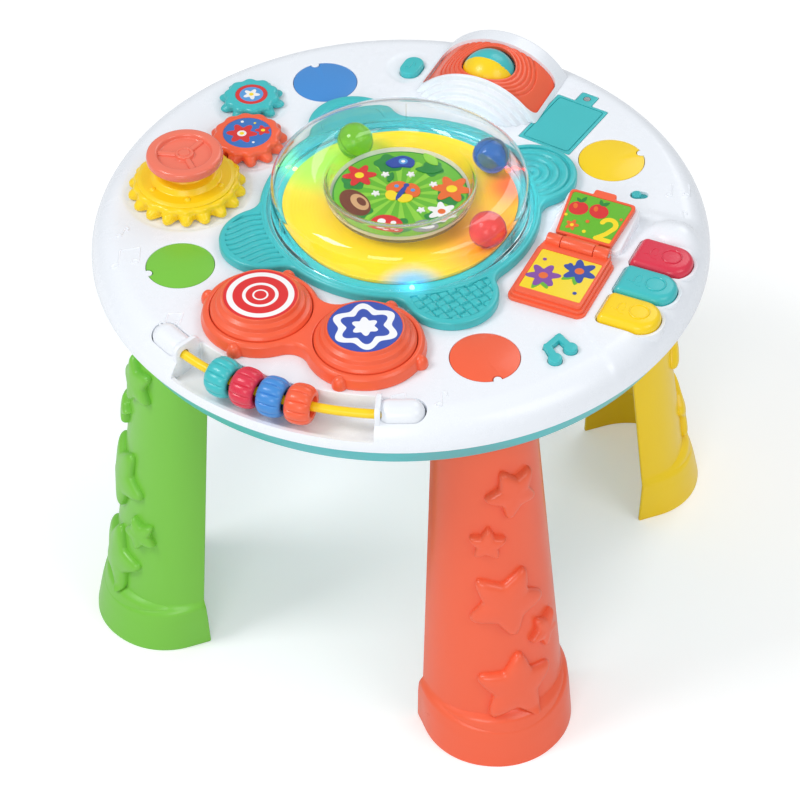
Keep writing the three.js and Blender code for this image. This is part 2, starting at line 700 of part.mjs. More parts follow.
function centreRing() {
  const body = crowned(lobedOutline(), ringLow, ringTop, ring.bevel, ring.bevelSteps, ring.arcSteps);
  const skirt = disc(ring.innerRadius + ring.skirtWall, ringLow - ring.skirtDepth, ringTop, facets.ring);
  const low = ringLow - ring.skirtDepth - fit.nick;
  const cuts = [
    disc(ring.innerRadius, low, ringTop + fit.nick, facets.ring),
    disc(ring.seatRadius, ringSeat, ringTop + fit.nick, facets.ring),
  ];
  for (const angle of Object.values(led.angles)) {
    const place = polar(led.reach, angle);
    cuts.push(disc(led.radius + led.pocket, low, ringTop, facets.pin, place.x, place.y));
  }
  return meshOf('center_ring', cutBy(body.add(skirt), cuts), colours.teal);
}

function superArc(centre, halfWidth, low, rise, steps) {
  const points = [];
  for (let i = 0; i <= steps; i += 1) {
    const turn = (Math.PI * i) / steps;
    const across = Math.sign(Math.cos(turn)) * Math.abs(Math.cos(turn)) ** dome.roundnessShare;
    const up = Math.sin(turn) ** dome.roundnessShare;
    points.push([centre - halfWidth * across, low + rise * up]);
  }
  return points;
}

function clearDome() {
  const centre = (dome.springRadius + dome.wellTopRadius) / 2;
  const half = (dome.springRadius - dome.wellTopRadius) / 2;
  const rise = dome.crestRise;
  const inside = superArc(centre, half - dome.wall, springHeight, rise - dome.wall, dome.crestSteps);
  const outside = superArc(centre, half, springHeight, rise, dome.crestSteps).reverse();
  const low = ringSeat + fit.seat;
  const floorLow = wellFloor - dome.wall;
  const profile = [
    [0, floorLow], [dome.wellFootRadius + dome.wall, floorLow], ...inside,
    [dome.footRadius - dome.wall, low], [dome.flangeRadius, low], [dome.flangeRadius,
      low + dome.flangeHeight],
    [dome.footRadius, low + dome.flangeHeight], ...outside,
    [dome.wellFootRadius, wellFloor], [0, wellFloor],
  ];
  return meshOf('dome', spun(profile, facets.ring), colours.clear, { transparent: true, opacity: 0.3 });
}

function turntableMesh() {
  const low = floorTop - turntable.thickness;
  const [boss, edge] = [turntable.bossRadius, turntable.radius - turntable.edgeWidth];
  const bossTop = floorTop + turntable.bossRise;
  const profile = [
    [0, low - turntable.bossDrop], [boss, low - turntable.bossDrop], [boss, low], [turntable.radius, low],
    [turntable.radius, floorTop + turntable.edgeLift], [edge, floorTop],
    [boss, floorTop], [boss, bossTop], [0, bossTop],
  ];
  const bore = disc(
    shaft.radius + fit.seat, low - turntable.bossDrop - fit.nick, bossTop - turntable.capThickness,
      facets.pin,
  );
  return meshOf('turntable', spun(profile, facets.ring).subtract(bore), colours.yellow);
}

function turntableShaft() {
  const high = floorTop + turntable.bossRise - turntable.capThickness - fit.seat;
  const low = trayFloor + fit.seat + motor.height + motor.noseHeight - shaft.insertion;
  const look = { metalness: 0.9 };
  return meshOf('turntable_shaft', disc(shaft.radius, low, high, facets.pin), colours.steel, look);
}

function turntableMotor() {
  const low = trayFloor + fit.seat;
  const [body, nose] = [low + motor.height, low + motor.height + motor.noseHeight];
  const can = disc(motor.radius, low, body, facets.knob);
  const neck = disc(motor.noseRadius, body - fit.nick, nose, facets.knob);
  const bore = disc(shaft.radius + fit.seat, nose - shaft.insertion - fit.seat, nose + fit.nick, facets.pin);
  return meshOf('turntable_motor', can.add(neck).subtract(bore), colours.steel, { metalness: 0.7 });
}

function ballMesh(key, angle) {
  const sphere = solidOf(new THREE.SphereGeometry(ball.radius, ball.rings * 2, ball.rings));
  const look = { transparent: true, opacity: 0.8, roughness: 0.1 };
  const mesh = meshOf(`ball_${key}`, sphere, colours[key], look);
  const place = polar(ball.tracks[key], angle);
  mesh.position.set(place.x, place.y, floorTop + fit.seat + ball.radius);
  return mesh;
}

function lightMesh(name, colour, angle) {
  const high = ringSeat + led.lift;
  const shoulder = high - led.radius / 2;
  const profile = [
    [0, high - led.height], [led.radius, high - led.height], [led.radius, shoulder],
    [led.radius / 2, high], [0, high],
  ];
  const mesh = meshOf(name, spun(profile, facets.pin), colour, { roughness: 0.1 });
  const place = polar(led.reach, angle);
  mesh.position.set(place.x, place.y, 0);
  return mesh;
}

function pictureDisc() {
  const low = wellFloor + fit.seat;
  return meshOf(
    'picture_disc', disc(picture.radius, low, low + picture.thickness, facets.ring), colours.green,
  );
}

// Drums

function peanutOutline() {
  const [round, half] = [drum.housingRadius, drum.spacing / 2];
  const fillet = (half ** 2 + drum.waistHalf ** 2 - round ** 2) / (2 * (round - drum.waistHalf));
  const offset = drum.waistHalf + fillet;
  const open = Math.atan2(offset, half);
  const shape = new THREE.Shape();
  shape.absarc(half, 0, round, -(Math.PI - open), Math.PI - open, false);
  shape.absarc(0, offset, fillet, -open, -Math.PI + open, true);
  shape.absarc(-half, 0, round, open, Math.PI * 2 - open, false);
  shape.absarc(0, -offset, fillet, Math.PI - open, open, true);
  return shape;
}

function drumHousing() {
  const low = top.height + fit.seat;
  const high = low + drum.housingHeight;
  const body = crowned(peanutOutline(), low, high, drum.bevel, drum.bevelSteps, drum.arcSteps);
  const nubs = [];
  const wells = [];
  for (const side of [-1, 1]) {
    const middle = (side * drum.spacing) / 2;
    for (const bearing of [90, 270, side < 0 ? 180 : 0]) {
      const place = polar(drum.nubReach, bearing);
      const nub = new THREE.SphereGeometry(drum.nubRadius, drum.nubRings * 2, drum.nubRings);
      nubs.push(solidOf(nub.translate(middle + place.x, place.y, low + drum.nubLift)));
    }
    wells.push(disc(drum.wellRadius, low - fit.nick, high + fit.nick, facets.drum, middle, 0));
  }
  const floorCut = slab(0, 0, low - drum.nubRadius, top.radius, top.radius, drum.nubRadius);
  const solid = body.add(joined(nubs)).subtract(floorCut).subtract(joined(wells));
  const mesh = meshOf('drum_housing', solid, colours.coral);
  mesh.position.y = drumY;
  return mesh;
}

function drumPad(name, side) {
  const outside = padSteps.map((step) => [drum.padRadius - step.inset, step.rise]);
  const inner = drum.padRadius - drum.padWall;
  const roof = padSteps[0].rise - drum.padWall;
  const profile = [
    [0, roof], [inner, roof], [inner, drum.padLow], [drum.padRadius, drum.padLow], ...outside,
    [drum.labelRadius, drum.padTop], [drum.labelRadius, drum.padTop - drum.labelDepth],
    [0, drum.padTop - drum.labelDepth],
  ];
  const mesh = meshOf(name, spun(profile, facets.drum), colours.coral);
  mesh.position.set((side * drum.spacing) / 2, drumY, top.height);
  return mesh;
}

// Gear train

function toothRing(gear, phase, inset, waveShare, height) {
  const points = [];
  const count = gear.teeth * gears.pointsPerTooth;
  const pitch = (gears.module * gear.teeth) / 2 - gears.relief - inset;
  for (let i = 0; i < count; i += 1) {
    const turn = (Math.PI * 2 * i) / count;
    const radius = pitch + gears.wave * waveShare * Math.cos(gear.teeth * turn);
    const at = turn + phase;
    points.push(new THREE.Vector3(radius * Math.cos(at), radius * Math.sin(at), height));
  }
  return points;
}

function gearPhases() {
  const [first, second] = [mediumGear, smallGear].map((gear) => THREE.MathUtils.degToRad(gear.bearing));
  const large = first;
  const medium = first + Math.PI - Math.PI / mediumGear.teeth;
  const wave = mediumGear.teeth * (second - medium);
  const small = second + Math.PI - (Math.PI - wave) / smallGear.teeth;
  return { large, medium, small };
}

function gearBody(gear, phase) {
  const low = gears.standoff;
  return loft([
    toothRing(gear, phase, 0, 1, low),
    toothRing(gear, phase, 0, 1, gear.shoulder),
    toothRing(gear, phase, gears.crownInset, gears.crownWaveShare, gear.height),
  ]);
}

function gearBore(gear) {
  return disc(gears.pinRadius + fit.seat, gears.standoff - fit.nick, gear.pinReach + fit.seat, facets.pin);
}

function gearMesh(name, colour, gear, spot, phase, stickerRadius) {
  const recess = disc(stickerRadius, gear.height - gearSticker.depth, gear.height + fit.nick, facets.drum);
  const solid = gearBody(gear, phase).subtract(gearBore(gear)).subtract(recess);
  const mesh = meshOf(name, solid, colour);
  mesh.position.set(spot.x, spot.y, top.height);
  return mesh;
}

function largeGearMesh(phase) {
  const base = largeGear.height;
  const sides = cone.map((step) => [step.radius, base + step.rise]);
  const stubHigh = base + cone.at(-1).rise + wheel.stubHeight;
  const profile = [
    [0, base - fit.nick], [cone[0].radius, base - fit.nick], ...sides,
    [wheel.stubRadius, base + cone.at(-1).rise], [wheel.stubRadius, stubHigh], [0, stubHigh],
  ];
  const solid = gearBody(largeGear, phase).add(spun(profile, facets.drum)).subtract(gearBore(largeGear));
  const mesh = meshOf('gear_large', solid, colours.yellow);
  mesh.position.set(gearSpots.large.x, gearSpots.large.y, top.height);
  return mesh;
}

function steeringWheel() {
  const high = wheel.height;
  const profile = [
    [0, 0], [wheel.footRadius, 0], [wheel.footRadius, wheel.footHeight],
    [wheel.radius - wheel.edge, wheel.footHeight], [wheel.radius, wheel.footHeight + wheel.edge],
    [wheel.radius, high - wheel.edge], [wheel.radius - wheel.edge, high], [wheel.dishRadius, high],
    [wheel.dishRadius, high - wheel.dishDepth], [wheel.hubRadius, high - wheel.dishDepth],
    [wheel.hubRadius, high], [0, high],
  ];
  const parts = [spun(profile, facets.drum)];
  for (let i = 0; i < wheel.spokes; i += 1) {
    const turn = (360 * i) / wheel.spokes + 90;
    const middle = polar((wheel.dishRadius + wheel.hubRadius) / 2, turn);
    const length = wheel.dishRadius - wheel.hubRadius + wheel.edge;
    const low = high - wheel.dishDepth - fit.nick;
    parts.push(slab(middle.x, middle.y, low, length, wheel.spokeWidth, wheel.dishDepth, turn));
  }
  const socket = disc(wheel.stubRadius + fit.seat, -fit.nick, wheel.stubHeight + fit.seat, facets.drum);
  const mesh = meshOf('steering_wheel', joined(parts).subtract(socket), colours.coral);
  const seat = largeGear.height + cone.at(-1).rise + fit.seat;
  mesh.position.set(gearSpots.large.x, gearSpots.large.y, top.height + seat);
  return mesh;
}

function gearPin(name, gear, spot) {
  const mesh = meshOf(name, disc(gears.pinRadius, -gears.pinLow, gear.pinReach, facets.pin), colours.steel, {
    metalness: 0.9,
  });
  mesh.position.set(spot.x, spot.y, top.height);
  return mesh;
}

// Flip book

function hingeHeight() {
  return top.height + hinge.axisRise;
}

function alongX(radius, x0, x1, segments) {
  const geometry = new THREE.CylinderGeometry(radius, radius, x1 - x0, segments).rotateZ(Math.PI / 2);
  return solidOf(geometry.translate((x0 + x1) / 2, book.hingeY, hingeHeight()));
}

function bookBase() {
  const low = top.height + fit.seat;
  const half = book.width / 2;
  const layers = [];
  for (let i = 0; i < book.layers; i += 1) {
    const inset = i * book.layerInset;
    const shape = roundedBox(
      book.centreX - half + inset, book.centreX + half - inset, book.nearY + inset, book.hingeY,
      book.cornerRadius - inset,
    );
    layers.push(prism(shape, low, low + (i + 1) * book.layerHeight, facets.pin / 4));
  }
  const earHalf = hinge.earSpan / 2;
  const knuckle = hinge.knuckleWidth / 2 + hinge.gap;
  for (const side of [-1, 1]) {
    const [near, far] = [side * knuckle + book.centreX, side * earHalf + book.centreX].sort((a, b) => a - b);
    layers.push(alongX(hinge.barrelRadius, near, far, facets.knob));
    const foot = slab(
      (near + far) / 2, book.hingeY, low, far - near, hinge.barrelRadius * 2, hinge.axisRise / 2,
    );
    layers.push(foot);
  }
  const relief = alongX(
    hinge.barrelRadius + hinge.gap, book.centreX - knuckle, book.centreX + knuckle, facets.knob,
  );
  const pinHole = alongX(
    hinge.pinRadius + fit.seat, book.centreX - book.width / 2 - fit.nick,
      book.centreX + book.width / 2 + fit.nick,
    facets.pin,
  );
  const bookTop = low + book.layers * book.layerHeight;
  const recess = slab(
    book.centreX, book.pictureNearY + book.pictureLength / 2, bookTop - book.pictureDepth, book.pictureWidth,
    book.pictureLength, book.layerHeight,
  );
  return meshOf(
    'book_base', joined(layers).subtract(relief).subtract(pinHole).subtract(recess), colours.coral,
  );
}

function coverPlate(length, nearWidth, farWidth, low, high) {
  const [near, far] = [nearWidth / 2, farWidth / 2];
  const shape = new THREE.Shape([
    new THREE.Vector2(-near, cover.startOffset), new THREE.Vector2(near, cover.startOffset),
    new THREE.Vector2(far, cover.startOffset + length), new THREE.Vector2(-far, cover.startOffset + length),
  ]);
  return prism(shape, low, high, 1);
}

function bookCover() {
  const high = -cover.drop;
  const low = high - cover.thickness;
  const plate = coverPlate(cover.length - cover.startOffset, cover.nearWidth, cover.farWidth, low, high);
  const tab = slab(
    0, cover.length + cover.tabLength / 2 - fit.nick, low, cover.tabWidth, cover.tabLength, cover.thickness,
  );
  const armLength = cover.startOffset + 2 * fit.nick;
  const arm = slab(0, armLength / 2, low, hinge.knuckleWidth, armLength, cover.thickness - fit.nick);
  const knuckle = solidOf(new THREE.CylinderGeometry(
    hinge.barrelRadius, hinge.barrelRadius, hinge.knuckleWidth, facets.knob,
  ).rotateZ(Math.PI / 2));
  const hole = solidOf(new THREE.CylinderGeometry(
    hinge.pinRadius + fit.seat, hinge.pinRadius + fit.seat, hinge.knuckleWidth + fit.cutOver, facets.pin,
  ).rotateZ(Math.PI / 2));
  const inset = cover.pictureInset;
  const recess = slab(
    0, (cover.length + cover.startOffset) / 2, high - cover.pictureDepth, cover.nearWidth - 2 * inset,
    cover.length - cover.startOffset - 2 * inset, cover.thickness,
  );
  const solid = joined([plate, tab, arm, knuckle]).subtract(hole).subtract(recess);
  const mesh = meshOf('book_cover', solid, colours.coral);
  mesh.position.set(book.centreX, book.hingeY, hingeHeight());
  mesh.rotation.x = THREE.MathUtils.degToRad(cover.tilt);
  return mesh;
}

// Ramp under the open cover, following its lower face
function coverRest() {
  const tilt = THREE.MathUtils.degToRad(cover.tilt);
  const start = book.hingeY + cover.startOffset + cover.wedgeInset;
  const end = book.hingeY + cover.length * Math.cos(tilt);
  const under = -(cover.drop + cover.thickness + cover.wedgeGap) / Math.cos(tilt);
  const heightAt = (y) => hingeHeight() + (y - book.hingeY) * Math.tan(tilt) + under;
  const side = new THREE.Shape([
    new THREE.Vector2(start, underside), new THREE.Vector2(end, underside),
    new THREE.Vector2(end, heightAt(end)), new THREE.Vector2(start, heightAt(start)),
  ]);
  const width = cover.farWidth + 2 * cover.wedgeInset;
  const geometry = new THREE.ExtrudeGeometry(side, { depth: width, bevelEnabled: false });
  geometry.rotateX(Math.PI / 2).rotateZ(Math.PI / 2);
  return solidOf(geometry.translate(book.centreX - width / 2, 0, 0));
}

function bookPin() {
  const half = hinge.earSpan / 2;
  const solid = alongX(hinge.pinRadius, book.centreX - half, book.centreX + half, facets.pin);
  return meshOf('book_hinge_pin', solid, colours.steel, { metalness: 0.9 });
}

// Keys and buttons

function keyMesh(name, colour, order) {
  const y = keys.firstY - order * keys.pitch;
  const half = keys.width / 2;
  const shape = new THREE.Shape();
  const [inner, outer] = [keys.innerRadius, keys.outerRadius];
  shape.absarc(keys.outerX - outer, y - half + outer, outer, -Math.PI / 2, 0, false);
  shape.absarc(keys.outerX - outer, y + half - outer, outer, 0, Math.PI / 2, false);
  shape.absarc(keys.innerX + inner, y + half - inner, inner, Math.PI / 2, Math.PI, false);
  shape.absarc(keys.innerX + inner, y - half + inner, inner, Math.PI, Math.PI * 1.5, false);
  const solid = crowned(shape, keyLow, keyHigh, keys.bevel, keys.bevelSteps, keys.arcSteps);
  return meshOf(name, solid, colour);
}

function musicButtonMesh() {
  const steps = facets.pin / 2;
  const low = underside - fit.seat - musicButton.plate;
  const face = movedShape(pill(musicButton.halfWidth, musicButton.length), 0, 0, 0, steps);
  const foot = movedShape(
    pill(musicButton.halfWidth + musicButton.flange, musicButton.length), 0, 0, 0, steps,
  );
  const cap = crowned(face, low, top.height + musicButton.rise, musicButton.bevel, 1, 1);
  const solid = cap.add(prism(foot, low, low + musicButton.plate, 1));
  const mesh = meshOf('music_button', solid, colours.teal);
  mesh.position.set(musicButton.x, musicButton.y, 0);
  return mesh;
}

function switchMesh() {
  const high = underside - fit.seat;
  const plateHalf = switchKnob.slotHalf + switchKnob.slotLength;
  const plate = slab(0, 0, high - switchKnob.plate, plateHalf * 2, plateHalf * 4, switchKnob.plate);
  const back = -switchKnob.slotLength / 2 + switchKnob.slotHalf - switchKnob.knobRadius - fit.seat;
  const knob = disc(
    switchKnob.knobRadius, high - fit.nick, top.height + switchKnob.rise, facets.pin, 0, back,
  );
  const mesh = meshOf('switch_knob', plate.add(knob), colours.teal);
  mesh.position.set(switchKnob.x, switchKnob.y, 0);
  mesh.rotation.z = THREE.MathUtils.degToRad(switchKnob.turn - 90);
  return mesh;
}

function noteButtonMesh() {
  const plateTop = underside - fit.seat;
  const low = plateTop - noteButton.plate;
  const face = noteOutline(0, low, top.height + noteButton.rise);
  return meshOf('note_button', face.add(noteOutline(noteButton.flange, low, plateTop)), colours.teal);
}

// Battery bay

function batteryLid() {
  const low = underside + fit.seat;
  const tab = bayPoint(0, bay.length / 2 + bay.tabLength / 2);
  const cuts = [
    disc(bay.tabHole, low - fit.nick, top.height + fit.nick, facets.pin, tab.x, tab.y),
    disc(bay.screwHead + fit.seat, top.height - bay.headDepth, top.height + fit.nick, facets.pin, tab.x,
      tab.y),
  ];
  return meshOf('battery_lid', cutBy(bayOutline(0, low, top.height - low), cuts), colours.teal);
}

function batteryScrew() {
  const tab = bayPoint(0, bay.length / 2 + bay.tabLength / 2);
  const high = top.height - fit.seat;
  const head = top.height - bay.headDepth + fit.seat;
  const profile = [
    [0, top.height - bay.screwLength], [bay.screwShank, top.height - bay.screwLength], [bay.screwShank, head],
    [bay.screwHead, head], [bay.screwHead, high], [0, high],
  ];
  const mesh = meshOf('battery_screw', spun(profile, facets.pin), colours.steel, { metalness: 0.9 });
  mesh.position.set(tab.x, tab.y, 0);
  return mesh;
}

function bayInnerWidth() {
  return cell.count * cell.radius * 2 + (cell.count + 1) * cell.gap;
}

function batteryBox() {
  const high = underside - fit.seat;
  const cellTop = underside + fit.seat - fit.side;
  const low = cellTop - cell.radius * 2 - cell.gap - bay.boxFloor;
  const [width, length] = [bayInnerWidth(), bay.boxLength];
  const outer = slab(0, 0, low, width + 2 * bay.boxWall, length + 2 * bay.boxWall, high - low);
  const inner = slab(0, 0, low + bay.boxFloor, width, length, high - low);
  const mesh = meshOf('battery_box', outer.subtract(inner), colours.dark);
  mesh.position.set(bay.x, bay.y, 0);
  mesh.rotation.z = THREE.MathUtils.degToRad(bay.turn);
  return mesh;
}

function batteryCell(order) {
  const pitch = cell.radius * 2 + cell.gap;
  const half = cell.length / 2;
  const profile = [
    [0, -half], [cell.radius, -half], [cell.radius, half], [cell.nubRadius, half],
    [cell.nubRadius, half + cell.nubLength], [0, half + cell.nubLength],
  ];
  const mesh = meshOf(`battery_cell_${order + 1}`, spun(profile, facets.pin), colours.dark);
  const place = bayPoint((order - (cell.count - 1) / 2) * pitch, 0);
  const holder = new THREE.Group();
  holder.position.set(place.x, place.y, underside + fit.seat - fit.side - cell.radius);
  holder.rotation.z = THREE.MathUtils.degToRad(bay.turn);
  mesh.rotation.x = order % 2 ? Math.PI / 2 : -Math.PI / 2;
  holder.add(mesh);
  return holder;
}

// Roller under its arch

function archBand(radius, inner, nearY, farY) {
  const shape = new THREE.Shape();
  shape.absarc(0, 0, radius, 0, Math.PI, false);
  if (inner) shape.absarc(0, 0, inner, Math.PI, 0, true);
  const settings = { depth: farY - nearY, bevelEnabled: false, curveSegments: arch.arcSteps / 2 };
  const geometry = new THREE.ExtrudeGeometry(shape, settings).rotateX(Math.PI / 2);
  return solidOf(geometry.translate(0, farY, archAxis));
}

function aboveTop() {
  const low = top.height + fit.seat;
  return slab(0, roller.y, low, top.radius, top.radius, top.radius);
}

function rollerFrame() {
  const window = slab(
    0, (arch.windowNearY + arch.windowFarY) / 2, top.height, arch.windowHalf * 2,
    arch.windowFarY - arch.windowNearY, top.radius,
  );
  const bodyNear = arch.nearY + arch.steps * arch.stepReach;
  let band = archBand(arch.outerRadius, archInner, bodyNear, arch.farY);
  band = band.add(archBand(arch.outerRadius, 0, arch.farY - arch.endWall, arch.farY));
  for (let i = 0; i < arch.steps; i += 1) {
    const radius = arch.outerRadius - (arch.steps - i) * arch.stepRise;
    const near = arch.nearY + i * arch.stepReach;
    const inner = i ? radius - arch.wall : 0;
    band = band.add(archBand(radius, inner, near, near + arch.stepReach + fit.nick));
  }
  return meshOf('roller_frame', band.intersect(aboveTop()).subtract(window), colours.white);
}

function rollerInsert() {
  const band = archBand(
    insertRadius, insertRadius - arch.insertWall, arch.windowNearY + fit.seat,
    arch.windowFarY - fit.seat,
  );
  const middle = (arch.windowNearY + arch.windowFarY) / 2;
  const span = slab(0, middle, top.height, arch.insertHalf * 2, top.radius, top.radius);
  const clear = archAxis + arch.outerRadius + fit.cutOver;
  const hole = disc(arch.insertHole, top.height, clear, facets.drum, 0, roller.y);
  return meshOf('roller_insert', band.intersect(span).intersect(aboveTop()).subtract(hole), colours.coral);
}

function rollerPin() {
  const solid = solidOf(new THREE.CylinderGeometry(
    roller.pinRadius, roller.pinRadius, roller.pinHalf * 2, facets.pin,
  ).rotateZ(Math.PI / 2));
  const mesh = meshOf('roller_axle', solid, colours.steel, { metalness: 0.9 });
  mesh.position.set(0, roller.y, rollerAxis);
  return mesh;
}

function rollerBall() {
  const sphere = new THREE.SphereGeometry(roller.ballRadius, facets.knob, facets.pin).rotateZ(Math.PI / 2);
  const hole = new THREE.CylinderGeometry(
    roller.pinRadius + fit.seat, roller.pinRadius + fit.seat, roller.pinHalf * 2, facets.pin,
  ).rotateZ(Math.PI / 2);
  const mesh = meshOf('roller_ball', solidOf(sphere).subtract(solidOf(hole)), colours.yellow);
  mesh.position.set(0, roller.y, rollerAxis);
  return mesh;
}

// Bead rail

class RailCurve extends THREE.Curve {
  constructor(start, end) {
    super();
    this.start = start;
    this.end = end;
  }

  getPoint(share, target = new THREE.Vector3()) {
    const place = polar(railRadius, THREE.MathUtils.lerp(this.start, this.end, share));
    return target.set(place.x, place.y, railHeight);
  }
}

function railSweep(radius, start, end) {
  const circle = new THREE.Shape().absarc(0, 0, radius, 0, Math.PI * 2, false);
  const path = new RailCurve(start, end);
  const settings = { steps: rail.steps, extrudePath: path, bevelEnabled: false,
    curveSegments: facets.pin / 2 };
  return solidOf(new THREE.ExtrudeGeometry(circle, settings));
}

function railRod() {
  const [start, end] = [rail.startAngle - rail.rodIntoBlock, rail.endAngle + rail.rodIntoBlock];
  return meshOf('bead_rail', railSweep(rail.rodRadius, start, end), colours.yellow);
}

function railBlock(name, side) {
  const gap = THREE.MathUtils.radToDeg(fit.seat / railRadius);
  const start = side < 0 ? rail.startAngle - rail.blockAngle : rail.endAngle + gap;
  const end = side < 0 ? rail.startAngle - gap : rail.endAngle + rail.blockAngle;
  const shape = sector(railBack + fit.side, railFront - fit.side, start, end);
  const low = railFloor + fit.seat;
  const high = top.height + rail.blockRise;
  const block = crowned(shape, low, high, rail.blockBevel, rail.bevelSteps, rail.blockSteps);
  const into = rail.rodIntoBlock + gap;
  const [boreStart, boreEnd] = side < 0
    ? [rail.startAngle - into, rail.startAngle + into]
    : [rail.endAngle - into, rail.endAngle + into];
  return meshOf(
    name, block.subtract(railSweep(rail.rodRadius + fit.running, boreStart, boreEnd)), colours.white,
  );
}

function beadMesh(name, colour, angle) {
  const half = bead.width / 2;
  const stations = [
    [-half, bead.endRadius], [-half * bead.shoulderShare, bead.radius * bead.barrelShare], [0, bead.radius],
    [half * bead.shoulderShare, bead.radius * bead.barrelShare], [half, bead.endRadius],
  ];
  const sides = bead.ribs * 2;
  const rings = stations.map(([height, radius]) => Array.from({ length: sides }, (_, i) => {
    const place = polar(radius * (i % 2 ? bead.ribDepthShare : 1), (360 * i) / sides);
    return new THREE.Vector3(place.x, place.y, height);
  }));
  const solid = loft(rings).subtract(disc(bead.boreRadius, -bead.width, bead.width, facets.pin));
  const mesh = meshOf(name, solid, colour);
  mesh.rotation.x = Math.PI / 2;
  const holder = new THREE.Group();
  const place = polar(railRadius, angle);
  holder.position.set(place.x, place.y, railHeight);
  holder.rotation.z = THREE.MathUtils.degToRad(angle);
  holder.add(mesh);
  return holder;
}

// Inside the casing

function circuitBoard() {
  const low = trayFloor + board.postHeight + fit.seat;
  const solid = slab(board.x, board.y, low, board.width, board.depth, board.thickness);
  return meshOf('circuit_board', solid, colours.board);
}

function speakerMesh() {
  const low = trayFloor + fit.seat;
  const profile = [
    [0, low], [speaker.radius, low], [speaker.radius, low + speaker.flange],
    [speaker.magnetRadius, low + speaker.height / 2], [speaker.magnetRadius, low + speaker.height],
    [0, low + speaker.height],
  ];
  const mesh = meshOf('speaker', spun(profile, facets.knob), colours.dark);
  mesh.position.set(speaker.x, speaker.y, 0);
  return mesh;
}

function trayScrewMesh(order) {
  const place = screwPlaces()[order];
  const seat = trayFloor - fit.seat;
  const head = seat - trayScrew.headHeight;
  const profile = [
    [0, head], [trayScrew.headRadius, head], [trayScrew.headRadius, seat], [trayScrew.shankRadius, seat],
    [trayScrew.shankRadius, seat + trayScrew.length], [0, seat + trayScrew.length],
  ];
  const mesh = meshOf(
    `tray_screw_${order + 1}`, spun(profile, facets.pin), colours.steel, { metalness: 0.9 },
  );
  mesh.position.set(place.x, place.y, 0);
  return mesh;
}

// Assembly

function buildTable() {
  const table = new THREE.Group();
  const phases = gearPhases();
  const legColours = [colours.yellow, colours.blue, colours.green, colours.coral];
  const legNames = ['leg_rear_right', 'leg_rear_left', 'leg_front_left', 'leg_front_right'];
  table.add(topShell(), baseTray());
  leg.angles.forEach((angle, i) => table.add(legMesh(legNames[i], legColours[i], angle)));
  trayScrew.angles.forEach((_, i) => table.add(trayScrewMesh(i)));

  const centre = new THREE.Group();
  centre.add(centreRing(), clearDome(), turntableMesh(), turntableShaft(), turntableMotor(), pictureDisc());
  for (const [key, angle] of Object.entries(ball.angles)) {
    centre.add(ballMesh(key, angle));
  }
  for (const [name, angle] of Object.entries(led.angles)) {
    centre.add(lightMesh(`light_${name}`, colours[name], angle));
  }

  const drums = new THREE.Group();
  drums.add(drumHousing(), drumPad('drum_pad_left', -1), drumPad('drum_pad_right', 1));

  const train = new THREE.Group();
  train.add(
    largeGearMesh(phases.large), steeringWheel(),
    gearMesh('gear_medium', colours.coral, mediumGear, gearSpots.medium, phases.medium,
      gearSticker.mediumRadius),
    gearMesh('gear_small', colours.teal, smallGear, gearSpots.small, phases.small, gearSticker.smallRadius),
    gearPin('gear_pin_large', largeGear, gearSpots.large),
    gearPin('gear_pin_medium', mediumGear, gearSpots.medium),
    gearPin('gear_pin_small', smallGear, gearSpots.small),
  );

  const flipBook = new THREE.Group();
  flipBook.add(bookBase(), bookCover(), bookPin());

  const controls = new THREE.Group();
  ['red', 'teal', 'yellow'].forEach((name, i) => controls.add(keyMesh(`key_${name}`, colours[name], i)));
  controls.add(musicButtonMesh(), switchMesh(), noteButtonMesh());

  const power = new THREE.Group();
  power.add(batteryLid(), batteryScrew(), batteryBox(), circuitBoard(), speakerMesh());
  for (let i = 0; i < cell.count; i += 1) power.add(batteryCell(i));

  const rollerGroup = new THREE.Group();
  rollerGroup.add(rollerFrame(), rollerInsert(), rollerPin(), rollerBall());

  const beads = new THREE.Group();
  beads.add(railRod(), railBlock('rail_block_left', -1), railBlock('rail_block_right', 1));
  for (const [name, angle] of Object.entries(bead.angles)) {
    beads.add(beadMesh(`bead_${name}`, colours[name], angle));
  }

  table.add(centre, drums, train, flipBook, controls, power, rollerGroup, beads);
  return table;
}

export default buildTable();
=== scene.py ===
"""Looks of the musical activity table, laid out as a Blender add-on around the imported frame."""

import math

import bmesh
import bpy
import numpy as np
from mathutils import Matrix, Vector


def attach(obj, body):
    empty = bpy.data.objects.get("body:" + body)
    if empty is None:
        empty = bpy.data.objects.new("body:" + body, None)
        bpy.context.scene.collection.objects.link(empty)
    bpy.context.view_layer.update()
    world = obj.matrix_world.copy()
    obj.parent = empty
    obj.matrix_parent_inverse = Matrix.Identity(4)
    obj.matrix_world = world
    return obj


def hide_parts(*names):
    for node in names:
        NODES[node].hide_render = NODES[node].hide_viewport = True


bl_info = {
    "name": "Musical Activity Table",
    "version": (1, 0, 0),
    "blender": (4, 5, 0),
    "location": "View3D > Sidebar > Activity Table",
    "description": "Builds the finished pieces of a musical activity table around its frame",
    "category": "Add Mesh",
}

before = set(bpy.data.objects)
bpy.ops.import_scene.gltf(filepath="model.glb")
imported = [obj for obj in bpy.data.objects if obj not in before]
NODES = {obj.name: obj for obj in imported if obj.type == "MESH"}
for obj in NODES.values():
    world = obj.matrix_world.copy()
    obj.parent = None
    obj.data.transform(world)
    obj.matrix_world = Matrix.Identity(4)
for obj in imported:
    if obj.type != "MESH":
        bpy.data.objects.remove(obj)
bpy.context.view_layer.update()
MM = 0.001
TAU = math.tau

